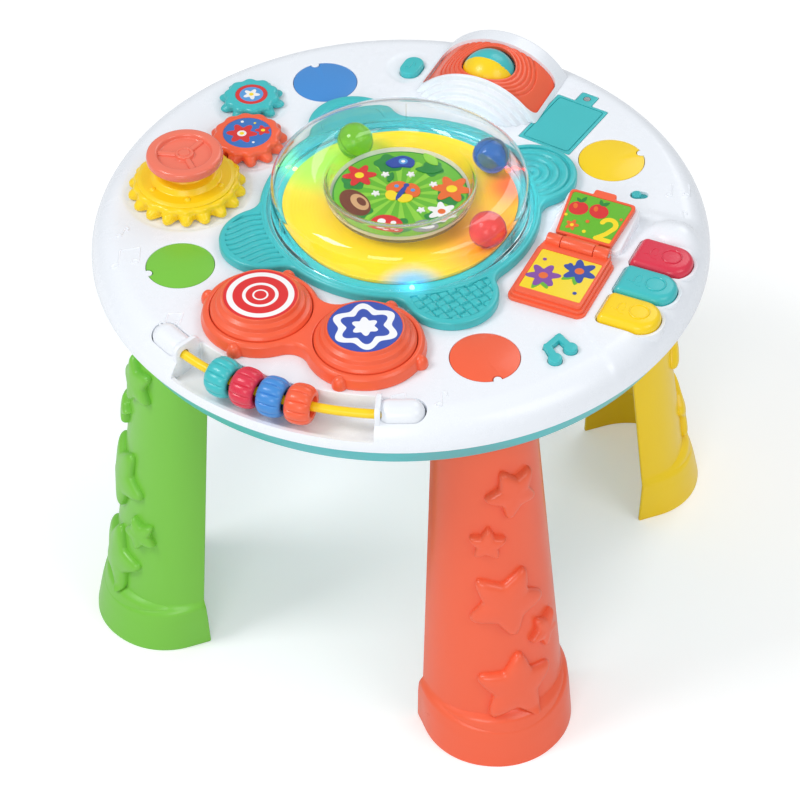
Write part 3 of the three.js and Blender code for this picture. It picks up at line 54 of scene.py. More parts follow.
# Places shared by several pieces, in millimetres and degrees
TOP = 358.0
RIM_LOW = 333.0
SHELL_WALL = 3.0
PLATEAU = 217.0
RIM_REACH = 23.0
RIM_RISE = 25.0
RING_OPENING = 100.0
LEG_TURNS = {"rear_right": 45, "rear_left": 135, "front_left": 225, "front_right": 315}
PLUG_REACH = 177.5
PLUG_RADIUS = 25.9
PLUG_NOTCH = 4.0
PLUG_NOTCH_REACH = 25.4
DRUM_Y = -153.0
DRUM_HALF = 42.5
GEARS = {
    "large": {"x": -163.0, "y": -43.5, "teeth": 18, "height": 12.0},
    "medium": {"x": -146.443, "y": 27.649, "teeth": 12, "height": 11.0, "label": 19.4},
    "small": {"x": -167.89, "y": 76.738, "teeth": 10, "height": 8.5, "label": 13.2},
}
GEAR_MODULE = 4.87
GEAR_WAVE = 3.9
GEAR_RELIEF = 0.6
LABEL_DEPTH = 0.6
BEARINGS = {"medium": 76.9, "small": 113.6}
BOOK_X = 145.0
HINGE_Y = 6.5
HINGE_Z = 367.0
BOOK_FOOT = TOP + 0.3
PAGE_DEPTH = 7.8
PAGE_Y = -28.5
COVER_TILT = 11.6
KEY_YS = {"red": 27.0, "teal": -7.0, "yellow": -41.0}
BAY = {"x": 73.4, "y": 153.0, "turn": -7.5}
ROLLER_Y = 171.0
ROLLER_Z = 371.0
ROLLER_BALL = 22.3
ARCH_Z = 325.0
WINDOW_Y = 172.0
MUSIC_SPOT = (-68.0, 170.0)
SWITCH_SPOT = (161.0, 94.0)
SWITCH_TURN = -64.0
RAIL_RADIUS = 224.0
RAIL_Z = 356.0
LIGHTS = {"green": 175, "red": 52, "blue": 300}
LIGHT_REACH = 95.1
BALLS = {"blue": (82.0, 55.0), "red": (81.5, 348.6), "green": (71.5, 144.5)}


def linear(red, green, blue):
    """A colour written as screen values from 0 to 255, as Blender's linear values."""
    shares = (value / 255 for value in (red, green, blue))
    return tuple(s / 12.92 if s <= 0.04045 else ((s + 0.055) / 1.055) ** 2.4 for s in shares)


# Points and faces

def polar(radius, degrees):
    angle = math.radians(degrees)
    return np.array([radius * math.cos(angle), radius * math.sin(angle)])


def turned(points, degrees):
    angle = math.radians(degrees)
    c, s = math.cos(angle), math.sin(angle)
    points = np.asarray(points, float)
    out = points.copy()
    out[..., 0] = points[..., 0] * c - points[..., 1] * s
    out[..., 1] = points[..., 0] * s + points[..., 1] * c
    return out


class Form:
    """Points in millimetres and their faces, each face with the number of its paint."""

    def __init__(self, points, faces, paint=0):
        self.points = np.asarray(points, float).reshape(-1, 3)
        self.faces = [tuple(face) for face in faces]
        self.paint = [paint] * len(self.faces) if isinstance(paint, int) else list(paint)

    def __add__(self, other):
        start = len(self.points)
        faces = self.faces + [tuple(i + start for i in face) for face in other.faces]
        return Form(np.vstack([self.points, other.points]), faces, self.paint + other.paint)

    def moved(self, x=0, y=0, z=0):
        return Form(self.points + (x, y, z), self.faces, self.paint)

    def turned(self, degrees):
        return Form(turned(self.points, degrees), self.faces, self.paint)

    def placed(self, matrix):
        spots = [tuple(matrix @ Vector(point)) for point in self.points]
        return Form(spots, self.faces, self.paint)

    def painted(self, paint):
        return Form(self.points, self.faces, paint)


def joined(forms):
    total = forms[0]
    for form in forms[1:]:
        total = total + form
    return total


def lofted(rings, closed=False, caps=True):
    """A skin over rings of points with the same count; closed joins the last ring to the first."""
    rings = [np.asarray(ring, float) for ring in rings]
    count = len(rings[0])
    levels = len(rings)
    spans = levels if closed else levels - 1
    faces = []
    for level in range(spans):
        low, high = level * count, ((level + 1) % levels) * count
        faces += [(low + i, low + (i + 1) % count, high + (i + 1) % count, high + i) for i in range(count)]
    if caps and not closed:
        faces.append(tuple(reversed(range(count))))
        faces.append(tuple(range((levels - 1) * count, levels * count)))
    return Form(np.vstack(rings), faces)


def at_height(outline, z):
    outline = np.asarray(outline, float)
    return np.column_stack([outline, np.full(len(outline), float(z))])


def circle(radius, count=96, x=0.0, y=0.0):
    angles = np.arange(count) * TAU / count
    return np.column_stack([x + radius * np.cos(angles), y + radius * np.sin(angles)])


def inset(outline, distance):
    """The outline moved inwards; it runs anticlockwise, and edges that close up stay closed."""
    points = np.array(outline, float)
    size = len(points)
    parts = max(1, math.ceil(abs(distance) / 0.3))
    for _ in range(parts):
        ahead = np.roll(points, -1, 0) - points
        length = np.linalg.norm(ahead, axis=1)
        live = np.flatnonzero(length > 1e-5)
        found = np.searchsorted(live, np.arange(size))
        unit = ahead / np.maximum(length, 1e-9)[:, None]
        first, second = unit[live[found - 1]], unit[live[found % len(live)]]
        lean = first + second
        inward = np.column_stack([-lean[:, 1], lean[:, 0]])
        inward /= np.maximum(1 + (first * second).sum(1), 0.4)[:, None]
        points = points + inward * distance / parts
        new = np.roll(points, -1, 0) - points
        closed = (length > 1e-5) & ((new * ahead).sum(1) <= 0) | (length <= 1e-5)
        group = np.cumsum(~np.roll(closed, 1))
        if closed[-1]:
            group[group == group[0]] = group[-1]
        amount = np.maximum(np.bincount(group), 1)
        middle = np.column_stack([np.bincount(group, points[:, k]) / amount for k in (0, 1)])
        points = middle[group]
    return points


def finer(outline, step=1.5):
    """The same outline with more points on its long edges."""
    out = []
    for a, b in zip(outline, np.roll(outline, -1, 0)):
        parts = max(1, math.ceil(np.linalg.norm(b - a) / step))
        out += [a + (b - a) * k / parts for k in range(parts)]
    return np.array(out)


def bent(outline, middle):
    """An outline of distance from the rail and length along it, laid round the table."""
    outline = finer(outline)
    angles = math.radians(middle) + outline[:, 1] / RAIL_RADIUS
    reach = RAIL_RADIUS + outline[:, 0]
    return np.column_stack([reach * np.cos(angles), reach * np.sin(angles)])


def rounded_box(width, length, radius, steps=8, x=0.0, y=0.0):
    points = []
    for corner, (sx, sy) in enumerate([(1, 1), (-1, 1), (-1, -1), (1, -1)]):
        middle = (sx * (width / 2 - radius), sy * (length / 2 - radius))
        for i in range(steps + 1):
            angle = math.pi / 2 * (corner + i / steps)
            points.append((x + middle[0] + radius * math.cos(angle),
                           y + middle[1] + radius * math.sin(angle)))
    return np.array(points)


def edge_levels(low, high, foot=0.0, brow=0.0, steps=4):
    """Pairs of inset and height for a wall whose lower and upper edges are rounded."""
    levels = []
    for i in range(steps + 1 if foot else 1):
        angle = math.pi / 2 * i / steps
        levels.append((foot * (1 - math.sin(angle)), low + foot * (1 - math.cos(angle))))
    for i in range(steps + 1 if brow else 1):
        angle = math.pi / 2 * i / steps
        levels.append((brow * (1 - math.cos(angle)), high - brow + brow * math.sin(angle)))
    return levels


def block(outline, low, high, foot=0.0, brow=0.0, crown=0.0, steps=4):
    """An upright solid with rounded edges; crown lifts the middle of its top."""
    levels = edge_levels(low, high, foot, brow, steps)
    rings = [at_height(inset(outline, distance), z) for distance, z in levels]
    last = rings[-1]
    middle = last.mean(0)
    for share in (0.9, 0.75, 0.55, 0.35, 0.15) if crown else ():
        ring = middle + (last - middle) * share
        ring[:, 2] = last[:, 2] + crown * (1 - share ** 2)
        rings.append(ring)
    return lofted(rings)


def soften(profile, steps=5):
    """Rounds the corners of a profile; a point's third number is its corner's radius."""
    out = []
    count = len(profile)
    for i, point in enumerate(profile):
        here = np.array(point[:2], float)
        radius = point[2] if len(point) > 2 else 0
        if not radius or i in (0, count - 1):
            out.append(here)
            continue
        before = np.array(profile[i - 1][:2], float) - here
        after = np.array(profile[i + 1][:2], float) - here
        lengths = np.linalg.norm(before), np.linalg.norm(after)
        before, after = before / lengths[0], after / lengths[1]
        half = math.acos(max(-1.0, min(1.0, float(before @ after)))) / 2
        reach = min(radius / math.tan(half), lengths[0] * 0.49, lengths[1] * 0.49)
        start, end = here + before * reach, here + after * reach
        for k in range(steps + 1):
            t = k / steps
            out.append(start * (1 - t) ** 2 + here * 2 * t * (1 - t) + end * t ** 2)
    return out


def soften_loop(corners, steps=5):
    """Rounds every corner of a closed outline."""
    return np.array(soften(corners[-1:] + corners + corners[:1], steps)[1:-1])


def spun(profile, count=128):
    """Turns a profile of radius and height about Z."""
    return lofted([at_height(circle(r, count), z) for r, z in profile], caps=False)


def tube(path, radius, count=12):
    """A round bar along a level path."""
    path = np.asarray(path, float)
    ahead = np.roll(path, -1, 0) - np.roll(path, 1, 0)
    ahead[0], ahead[-1] = path[1] - path[0], path[-1] - path[-2]
    ahead /= np.linalg.norm(ahead, axis=1, keepdims=True)
    lift = np.array([0.0, 0.0, 1.0])
    rings = []
    angles = np.arange(count) * TAU / count
    for point, along in zip(path, ahead):
        side = np.cross(along, lift)
        side /= np.linalg.norm(side)
        up = np.cross(side, along)
        rings.append(point + radius * (np.outer(np.cos(angles), side) + np.outer(np.sin(angles), up)))
    return lofted(rings)


def relief(x0, x1, y0, y1, step, height, low):
    """A block whose top follows height(x, y)."""
    nx, ny = max(2, round((x1 - x0) / step)), max(2, round((y1 - y0) / step))
    xs, ys = np.linspace(x0, x1, nx + 1), np.linspace(y0, y1, ny + 1)
    grid_x, grid_y = np.meshgrid(xs, ys)
    top = np.column_stack([grid_x.ravel(), grid_y.ravel(), height(grid_x, grid_y).ravel()])
    base = top.copy()
    base[:, 2] = low
    row = nx + 1
    under = len(top)
    faces = []
    for j in range(ny):
        for i in range(nx):
            a = j * row + i
            faces.append((a, a + 1, a + row + 1, a + row))
            faces.append((under + a, under + a + row, under + a + row + 1, under + a + 1))
    edge = list(range(row)) + [j * row + nx for j in range(1, ny + 1)]
    edge += [ny * row + i for i in range(nx - 1, -1, -1)] + [j * row for j in range(ny - 1, 0, -1)]
    for k, a in enumerate(edge):
        b = edge[(k + 1) % len(edge)]
        faces.append((a, under + a, under + b, b))
    return Form(np.vstack([top, base]), faces)


def mesh_of(name, form, paints):
    mesh = bpy.data.meshes.new(name)
    mesh.from_pydata((form.points * MM).tolist(), [], form.faces)
    for paint in paints:
        mesh.materials.append(paint)
    mesh.polygons.foreach_set("material_index", form.paint)
    tool = bmesh.new()
    tool.from_mesh(mesh)
    bmesh.ops.remove_doubles(tool, verts=tool.verts, dist=2e-6)
    bmesh.ops.dissolve_degenerate(tool, dist=1e-6, edges=tool.edges)
    bmesh.ops.recalc_face_normals(tool, faces=tool.faces)
    tool.to_mesh(mesh)
    tool.free()
    mesh.update()
    return mesh


def object_of(name, form, paints=()):
    thing = bpy.data.objects.new(name, mesh_of(name, form, paints))
    bpy.context.scene.collection.objects.link(thing)
    return thing


def form_of(thing):
    mesh = thing.data
    points = np.empty(len(mesh.vertices) * 3)
    mesh.vertices.foreach_get("co", points)
    faces = [tuple(face.vertices) for face in mesh.polygons]
    return Form(points.reshape(-1, 3) / MM, faces, [face.material_index for face in mesh.polygons])


def worked(form, others, operation):
    """The form joined with, cut by or kept inside each of the others."""
    thing = object_of("work", form)
    tools = []
    for other in others:
        tool = object_of("tool", other)
        modifier = thing.modifiers.new("work", "BOOLEAN")
        modifier.operation = operation
        modifier.solver = "MANIFOLD"
        modifier.object = tool
        tools.append(tool)
    bpy.context.view_layer.update()
    seen = thing.evaluated_get(bpy.context.evaluated_depsgraph_get())
    result = bpy.data.meshes.new_from_object(seen)
    old = thing.data
    thing.modifiers.clear()
    thing.data = result
    out = form_of(thing)
    for each in [thing, *tools]:
        data = each.data
        bpy.data.objects.remove(each)
        bpy.data.meshes.remove(data)
    bpy.data.meshes.remove(old)
    return out


def cut(form, *tools):
    return worked(form, tools, "DIFFERENCE")


def kept_inside(form, *tools):
    return worked(form, tools, "INTERSECT")


def welded(form, *others):
    return worked(form, others, "UNION")


def piece(name, form, paints, body, nodes=(), sharp=38):
    """A finished piece: its mesh, its paints, the body that it rides and the nodes it stands for."""
    thing = object_of(name, form, [material(paint) for paint in paints])
    thing.data.shade_smooth()
    thing.data.set_sharp_from_angle(angle=math.radians(sharp))
    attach(thing, body)
    if nodes:
        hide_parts(*([nodes] if isinstance(nodes, str) else nodes))
    return thing


# Shader sockets and paints

class Wire:
    """A shader socket that can stand in a sum."""

    def __init__(self, tree, socket):
        self.tree = tree
        self.socket = socket

    def worked(self, operation, *others, swapped=False):
        node = self.tree.nodes.new("ShaderNodeMath")
        node.operation = operation
        values = [self, *others]
        for entry, value in zip(node.inputs, reversed(values) if swapped else values):
            plug(self.tree, entry, value)
        return Wire(self.tree, node.outputs[0])

    def __add__(self, other):
        return self.worked("ADD", other)

    def __sub__(self, other):
        return self.worked("SUBTRACT", other)

    def __rsub__(self, other):
        return self.worked("SUBTRACT", other, swapped=True)

    def __mul__(self, other):
        return self.worked("MULTIPLY", other)

    __radd__ = __add__


def plug(tree, entry, value):
    if isinstance(value, Wire):
        tree.links.new(value.socket, entry)
    elif isinstance(value, tuple) and len(value) == 3 and entry.type == "RGBA":
        entry.default_value = (*value, 1.0)
    else:
        entry.default_value = value


class Paint:
    """A material's node tree with one Principled shader."""

    def __init__(self, name):
        self.material = bpy.data.materials.new(name)
        self.material.use_nodes = True
        self.tree = self.material.node_tree
        self.tree.nodes.clear()
        self.shader = self.tree.nodes.new("ShaderNodeBsdfPrincipled")
        self.output = self.tree.nodes.new("ShaderNodeOutputMaterial")
        self.tree.links.new(self.shader.outputs[0], self.output.inputs["Surface"])
        self.place = self.node("ShaderNodeTexCoord", output="Object")

    def node(self, kind, settings=None, inputs=None, output=0):
        node = self.tree.nodes.new(kind)
        for key, value in (settings or {}).items():
            setattr(node, key, value)
        for key, value in (inputs or {}).items():
            plug(self.tree, node.inputs[key], value)
        return Wire(self.tree, node.outputs[output])

    def set(self, **sockets):
        for key, value in sockets.items():
            plug(self.tree, self.shader.inputs[key.replace("_", " ")], value)

    def noise(self, scale, detail=2.0):
        inputs = {"Vector": self.place, "Scale": scale, "Detail": detail}
        return self.node("ShaderNodeTexNoise", inputs=inputs)

    def mixed(self, share, first, second):
        node = self.tree.nodes.new("ShaderNodeMix")
        node.data_type = "RGBA"
        plug(self.tree, node.inputs[0], share)
        plug(self.tree, node.inputs[6], first)
        plug(self.tree, node.inputs[7], second)
        return Wire(self.tree, node.outputs[2])

    def axes(self, x=0.0, y=0.0):
        """X, Y and the reach from a point, in millimetres."""
        placed = self.node("ShaderNodeMapping", {"vector_type": "POINT"}, {
            "Vector": self.place, "Location": (-x * MM, -y * MM, 0.0),
        })
        split = self.tree.nodes.new("ShaderNodeSeparateXYZ")
        plug(self.tree, split.inputs[0], placed)
        across, along = (Wire(self.tree, out) * (1 / MM) for out in split.outputs[:2])
        return across, along, (across * across + along * along).worked("SQRT")

    def soft_step(self, value, edge, width):
        """0 below the edge and 1 above it, with a soft band of that width."""
        settings = {"interpolation_type": "SMOOTHSTEP"}
        return self.node("ShaderNodeMapRange", settings, {
            "Value": value, "From Min": edge - width / 2, "From Max": edge + width / 2,
        })

    def band(self, value, low, high, width=0.4):
        return self.soft_step(value, low, width) - self.soft_step(value, high, width)

    def bump(self, height, strength, distance):
        inputs = {"Height": height, "Strength": strength, "Distance": distance}
        return self.node("ShaderNodeBump", inputs=inputs)


def moulded(paint, colour, rough=0.3, depth=1.0):
    """Moulded plastic: slow changes of tone, a fine spark texture and uneven gloss."""
    look = bpy.context.scene.table_looks
    slow = paint.noise(4.0, 1.0)
    fine = paint.noise(1400.0, 2.0)
    cloud = paint.noise(60.0, 4.0)
    tone = (slow - 0.5) * look.tone_change
    deep = tuple(max(0.0, value * 0.8) for value in colour)
    pale = tuple(value + (1 - value) * 0.2 for value in colour)
    shade = paint.mixed(0.5 + tone * 5.0, deep, pale)
    base = paint.mixed(look.tone_change * 4, colour, shade)
    paint.set(Base_Color=base, Roughness=rough + (cloud - 0.5) * 0.08 + (fine - 0.5) * 0.04)
    paint.set(Normal=paint.bump(fine + cloud * 0.15, look.grain * depth, 0.00018), IOR=1.46)
    paint.shader.inputs["Coat Weight"].default_value = 0.12
    paint.shader.inputs["Coat Roughness"].default_value = 0.1


def look_colour(key):
    """A colour that the panel holds, by its name there."""
    return tuple(getattr(bpy.context.scene.table_looks, key))


def plastic(name, key, rough=0.3):
    paint = Paint(name)
    moulded(paint, look_colour(key), rough)
    return paint


def clear_plastic(name, tint):
    """Clear moulding that lets lamps through."""
    paint = Paint(name)
    paint.set(Base_Color=tint, Roughness=0.03, IOR=1.42)
    paint.shader.inputs["Transmission Weight"].default_value = 1.0
    wave = paint.noise(35.0, 2.0)
    paint.set(Normal=paint.bump(wave, 0.15, 0.0004))
    open_shader = paint.tree.nodes.new("ShaderNodeBsdfTransparent")
    open_shader.inputs["Color"].default_value = (*tint, 1.0)
    mixer = paint.tree.nodes.new("ShaderNodeMixShader")
    plug(paint.tree, mixer.inputs[0], paint.node("ShaderNodeLightPath", output="Is Shadow Ray"))
    paint.tree.links.new(paint.shader.outputs[0], mixer.inputs[1])
    paint.tree.links.new(open_shader.outputs[0], mixer.inputs[2])
    paint.tree.links.new(mixer.outputs[0], paint.output.inputs["Surface"])
    return paint


def well_foot_highlight(name):
    """Whitish, part see-through band along the foot of the well: a painted highlight for the bright ring seen
    there.
    """
    paint = Paint(name)
    cloud = paint.noise(80.0, 3.0)
    paint.set(Base_Color=paint.mixed(cloud, linear(222, 226, 224), linear(244, 245, 243)), IOR=1.4)
    paint.set(Roughness=0.22 + (cloud - 0.5) * 0.1)
    paint.shader.inputs["Transmission Weight"].default_value = 0.3
    return paint


def tinted(name, key, cloudy=0.5):
    """Coloured see-through plastic, part cloudy, as on the balls and the lights."""
    paint = Paint(name)
    moulded(paint, look_colour(key), 0.07, 0.2)
    paint.shader.inputs["Transmission Weight"].default_value = 1 - cloudy
    paint.set(IOR=1.35)
    return paint


def lamp(name, key, strength):
    paint = tinted(name, key, 0.7)
    paint.set(Emission_Color=look_colour(key))
    paint.shader.inputs["Emission Strength"].default_value = strength
    return paint


def metal(name, colour, rough):
    paint = Paint(name)
    streak = paint.noise(220.0, 3.0)
    paint.set(Base_Color=paint.mixed(streak, tuple(v * 0.85 for v in colour), colour), Metallic=1.0)
    paint.set(Roughness=rough + (streak - 0.5) * 0.2)
    return paint


def printed(name, colour):
    """Ink on a sticker: flat, a little uneven, with a thin gloss."""
    paint = Paint(name)
    speck = paint.noise(900.0, 2.0)
    shade = tuple(value * 0.93 for value in colour)
    paint.set(Base_Color=paint.mixed(speck, shade, colour), Roughness=0.34 + (speck - 0.5) * 0.1)
    return paint


def two_inks(paint, shape, field, white):
    """A white shape printed on a coloured field, with a slightly uneven gloss."""
    speck = paint.noise(900.0)
    paint.set(Base_Color=paint.mixed(shape, field, white), Roughness=0.32 + (speck - 0.5) * 0.1)
    return paint


def ring_label(name, x, field, white):
    """Red field with white rings, as printed on the left drum."""
    paint = Paint(name)
    reach = paint.axes(x, DRUM_Y)[2]
    rings = paint.band(reach, 20.6, 25.0) + paint.band(reach, 10.9, 13.4) + paint.band(reach, 4.6, 5.9)
    return two_inks(paint, rings, field, white)


def wave_label(name, x, field, white):
    """Blue field with a six-lobed white ring and centre, as printed on the right drum."""
    paint = Paint(name)
    across, along, reach = paint.axes(x, DRUM_Y)
    bearing = along.worked("ARCTAN2", across)
    wave = (bearing * 6.0).worked("COSINE")
    outer = reach - wave * 2.8
    inner = reach - wave * 1.6
    shape = paint.band(outer, 16.4, 22.4) + (1.0 - paint.soft_step(inner, 8.6, 0.4))
    return two_inks(paint, shape, field, white)


def closeness(paint, radius, turn, near, far):
    """1 close to a spot at that radius and angle, falling softly to 0."""
    x, y = (float(v) for v in polar(radius, turn))
    gap = paint.axes(x, y)[2]
    return 1.0 - paint.soft_step(gap, (near + far) / 2, far - near)


def spun_floor(name, key):
    """Yellow turntable floor: fine circular marks under painted glow and reflection, soft coloured patches
    near the three lights and under the red and green balls.
    """
    paint = Paint(name)
    reach = paint.axes()[2]
    marks = (reach * 2.2 + paint.noise(30.0) * 2.0).worked("SINE")
    base = paint.mixed(paint.noise(18.0, 3.0) * 0.25, look_colour(key), linear(248, 186, 36))
    # Painted glow and reflection: soft coloured patches near the three lights and under the red and green
    # balls stand in for their light on the floor.
    for colour, radius, turn, near, far, share in (
            ("coral", 76.0, 355.0, 14.0, 62.0, 0.5), ("glow_red", 90.0, 38.0, 4.0, 34.0, 0.85),
            ("glow_green", 84.0, 168.0, 8.0, 50.0, 0.8), ("glow_green", 70.0, 140.0, 4.0, 40.0, 0.5),
            ("glow_blue", 95.0, 300.0, 4.0, 30.0, 0.85)):
        tint = closeness(paint, radius, turn, near, far)
        base = paint.mixed(tint * share, base, look_colour(colour))
    cloud = paint.noise(18.0, 3.0)
    paint.set(Base_Color=base)
    paint.set(Roughness=0.3 + (cloud - 0.5) * 0.15, Normal=paint.bump(marks, 0.12, 0.0002))
    return paint


def glowing_ring(name, key):
    """Teal plastic that catches the glow of the lights set into it."""
    paint = plastic(name, key)
    # Painted glow: emission on the teal round each light stands in for the light of the lights falling on the
    # ring.
    glow = None
    for colour, turn in LIGHTS.items():
        share = closeness(paint, LIGHT_REACH, turn, 0.0, 24.0)
        tint = paint.mixed(share * share, (0.0, 0.0, 0.0), look_colour("glow_" + colour))
        if glow is None:
            glow = tint
        else:
            node = paint.tree.nodes.new("ShaderNodeVectorMath")
            plug(paint.tree, node.inputs[0], glow)
            plug(paint.tree, node.inputs[1], tint)
            glow = Wire(paint.tree, node.outputs[0])
    paint.set(Emission_Color=glow)
    paint.shader.inputs["Emission Strength"].default_value = bpy.context.scene.table_looks.glow
    return paint


PAINTS = {
    "white": (plastic, "White shell plastic", "white", 0.27),
    "teal": (plastic, "Teal plastic", "teal", 0.3),
    "ring": (glowing_ring, "Teal ring plastic", "teal"),
    "coral": (plastic, "Coral plastic", "coral", 0.3),
    "yellow": (plastic, "Yellow plastic", "yellow", 0.3),
    "green": (plastic, "Green plastic", "green", 0.34),
    "blue": (plastic, "Blue plastic", "blue", 0.32),
    "red": (plastic, "Red plastic", "red", 0.28),
    "dark": (plastic, "Dark plastic", "dark", 0.45),
    "board": (plastic, "Board laminate", "board", 0.4),
    "floor": (spun_floor, "Turntable floor", "yellow"),
    "clear": (clear_plastic, "Clear dome plastic", (0.97, 0.985, 1.0)),
    "wheel": (plastic, "Coral wheel plastic", "wheel", 0.16),
    # The whitish band at the well foot is a painted highlight.
    "well_highlight": (well_foot_highlight, "Milky dome rim"),
    "ball_blue": (tinted, "Blue ball plastic", "ball_blue", 0.16),
    "ball_red": (tinted, "Red ball plastic", "ball_red", 0.16),
    "ball_green": (tinted, "Green ball plastic", "ball_green", 0.16),
    "light_green": (lamp, "Green light", "glow_green", 6.0),
    "light_red": (lamp, "Red light", "glow_red", 6.0),
    "light_blue": (lamp, "Blue light", "glow_blue", 6.0),
    "steel": (metal, "Plated steel", (0.62, 0.63, 0.65), 0.28),
    "rings_label": (ring_label, "Ring label", -DRUM_HALF, linear(226, 45, 48), linear(250, 248, 248)),
    "wave_label": (wave_label, "Wave label", DRUM_HALF, linear(56, 84, 180), linear(248, 249, 252)),
    "meadow": (printed, "Meadow ink", linear(106, 188, 48)),
    "leaf": (printed, "Leaf ink", linear(146, 212, 66)),
    "forest": (printed, "Dark green ink", linear(46, 140, 62)),
    "brown": (printed, "Brown ink", linear(120, 66, 48)),
    "sand": (printed, "Sand ink", linear(214, 168, 120)),
    "orange": (printed, "Orange ink", linear(238, 112, 48)),
    "scarlet": (printed, "Red ink", linear(222, 52, 52)),
    "sky": (printed, "Sky ink", linear(92, 160, 224)),
    "azure": (printed, "Azure ink", linear(58, 118, 196)),
    "navy": (printed, "Navy ink", linear(50, 78, 168)),
    "violet": (printed, "Violet ink", linear(136, 78, 168)),
    "lemon": (printed, "Yellow ink", linear(252, 222, 40)),
    "paper": (printed, "White ink", linear(248, 246, 244)),
    "grey": (printed, "Grey ink", linear(140, 148, 156)),
}
MADE = {}


def material(name):
    if name not in MADE:
        maker, *values = PAINTS[name]
        MADE[name] = maker(*values).material
    return MADE[name]


class TableLooks(bpy.types.PropertyGroup):
    """Colours and surface settings of the table."""

    white: bpy.props.FloatVectorProperty(
        name="White", description="Shell, roller frame and rail ends", subtype="COLOR", min=0, max=1,
        default=linear(242, 246, 252))
    teal: bpy.props.FloatVectorProperty(
        name="Teal", description="Ring, casing, lid and buttons", subtype="COLOR", min=0, max=1,
        default=linear(62, 192, 196))
    coral: bpy.props.FloatVectorProperty(
        name="Coral", description="Drums, book, wheel and one leg", subtype="COLOR", min=0, max=1,
        default=linear(247, 100, 62))
    wheel: bpy.props.FloatVectorProperty(
        name="Wheel", description="Steering wheel", subtype="COLOR", min=0, max=1,
        default=linear(243, 122, 98))
    yellow: bpy.props.FloatVectorProperty(
        name="Yellow", description="Large gear, one key, rail and one leg", subtype="COLOR", min=0, max=1,
        default=linear(255, 216, 14))
    green: bpy.props.FloatVectorProperty(
        name="Green", description="One leg", subtype="COLOR", min=0, max=1, default=linear(122, 200, 62))
    blue: bpy.props.FloatVectorProperty(
        name="Blue", description="One leg and a bead", subtype="COLOR", min=0, max=1,
        default=linear(66, 142, 216))
    red: bpy.props.FloatVectorProperty(
        name="Red", description="One key and a bead", subtype="COLOR", min=0, max=1,
        default=linear(224, 50, 76))
    dark: bpy.props.FloatVectorProperty(
        name="Dark", description="Hidden boxes and gaps", subtype="COLOR", min=0, max=1,
        default=linear(52, 54, 60))
    board: bpy.props.FloatVectorProperty(
        name="Board", description="Circuit board", subtype="COLOR", min=0, max=1, default=linear(38, 110, 70))
    ball_blue: bpy.props.FloatVectorProperty(
        name="Blue ball", description="Clear blue ball", subtype="COLOR", min=0, max=1,
        default=linear(84, 138, 224))
    ball_red: bpy.props.FloatVectorProperty(
        name="Red ball", description="Clear red ball", subtype="COLOR", min=0, max=1,
        default=linear(246, 100, 122))
    ball_green: bpy.props.FloatVectorProperty(
        name="Green ball", description="Clear green ball", subtype="COLOR", min=0, max=1,
        default=linear(140, 216, 76))
    glow_green: bpy.props.FloatVectorProperty(
        name="Green glow", description="Light of the green lamp", subtype="COLOR", min=0, max=1,
        default=linear(150, 250, 90))
    glow_red: bpy.props.FloatVectorProperty(
        name="Red glow", description="Light of the red lamp", subtype="COLOR", min=0, max=1,
        default=linear(255, 70, 50))
    glow_blue: bpy.props.FloatVectorProperty(
        name="Blue glow", description="Light of the blue lamp", subtype="COLOR", min=0, max=1,
        default=linear(90, 200, 255))
    glow: bpy.props.FloatProperty(
        name="Glow", description="Strength of the glow on the ring", default=0.8, min=0, max=5)
    grain: bpy.props.FloatProperty(
        name="Grain", description="Depth of the mould's fine texture", default=0.12, min=0, max=1,
        subtype="FACTOR")
    tone_change: bpy.props.FloatProperty(
        name="Tone change", description="How much the plastic's tone wanders", default=0.012, min=0, max=0.2)


class TableSizes(bpy.types.PropertyGroup):
    """Sizes of the small detail, in metres."""

    shell_edge: bpy.props.FloatProperty(
        name="Shell edge", description="Rounding of the openings in the shell", default=0.0009, unit="LENGTH")
    note_height: bpy.props.FloatProperty(
        name="Note height", description="Height of the raised notes on the shell", default=0.0005,
        unit="LENGTH")
    star_lift: bpy.props.FloatProperty(
        name="Star lift", description="Height of the stars on the legs", default=0.0052, unit="LENGTH")
    weave_pitch: bpy.props.FloatProperty(
        name="Weave pitch", description="Size of a square on the woven pad", default=0.0072, unit="LENGTH")
    bead_ribs: bpy.props.IntProperty(
        name="Bead ribs", description="Ribs round one bead", default=11, min=6, max=30)
    cone_bumps: bpy.props.IntProperty(
        name="Cone bumps", description="Bumps round the cone of the large gear", default=6, min=1, max=24)


# Geometry Nodes

class Flow:
    """A Geometry Nodes tree with named inputs that ends in Realize Instances and Set Material."""

    def __init__(self, name):
        self.tree = bpy.data.node_groups.new(name, "GeometryNodeTree")
        self.tree.interface.new_socket("Geometry", in_out="INPUT", socket_type="NodeSocketGeometry")
        self.tree.interface.new_socket("Geometry", in_out="OUTPUT", socket_type="NodeSocketGeometry")
        self.inputs = self.tree.nodes.new("NodeGroupInput")
        self.outputs = self.tree.nodes.new("NodeGroupOutput")
        self.names = {}

    def entry(self, name, kind, value):
        socket = self.tree.interface.new_socket(name, in_out="INPUT", socket_type="NodeSocket" + kind)
        socket.default_value = value
        self.names[name] = (socket.identifier, value)
        return self.inputs.outputs[name]

    def node(self, kind, settings=None, inputs=None):
        node = self.tree.nodes.new(kind)
        for key, value in (settings or {}).items():
            setattr(node, key, value)
        for key, value in (inputs or {}).items():
            if isinstance(value, bpy.types.NodeSocket):
                self.tree.links.new(value, node.inputs[key])
            else:
                node.inputs[key].default_value = value
        return node

    def end(self, geometry, paint):
        real = self.node("GeometryNodeRealizeInstances", inputs={0: geometry})
        worn = self.node("GeometryNodeSetMaterial", inputs={"Geometry": real.outputs[0], "Material": paint})
        self.tree.links.new(worn.outputs[0], self.outputs.inputs[0])


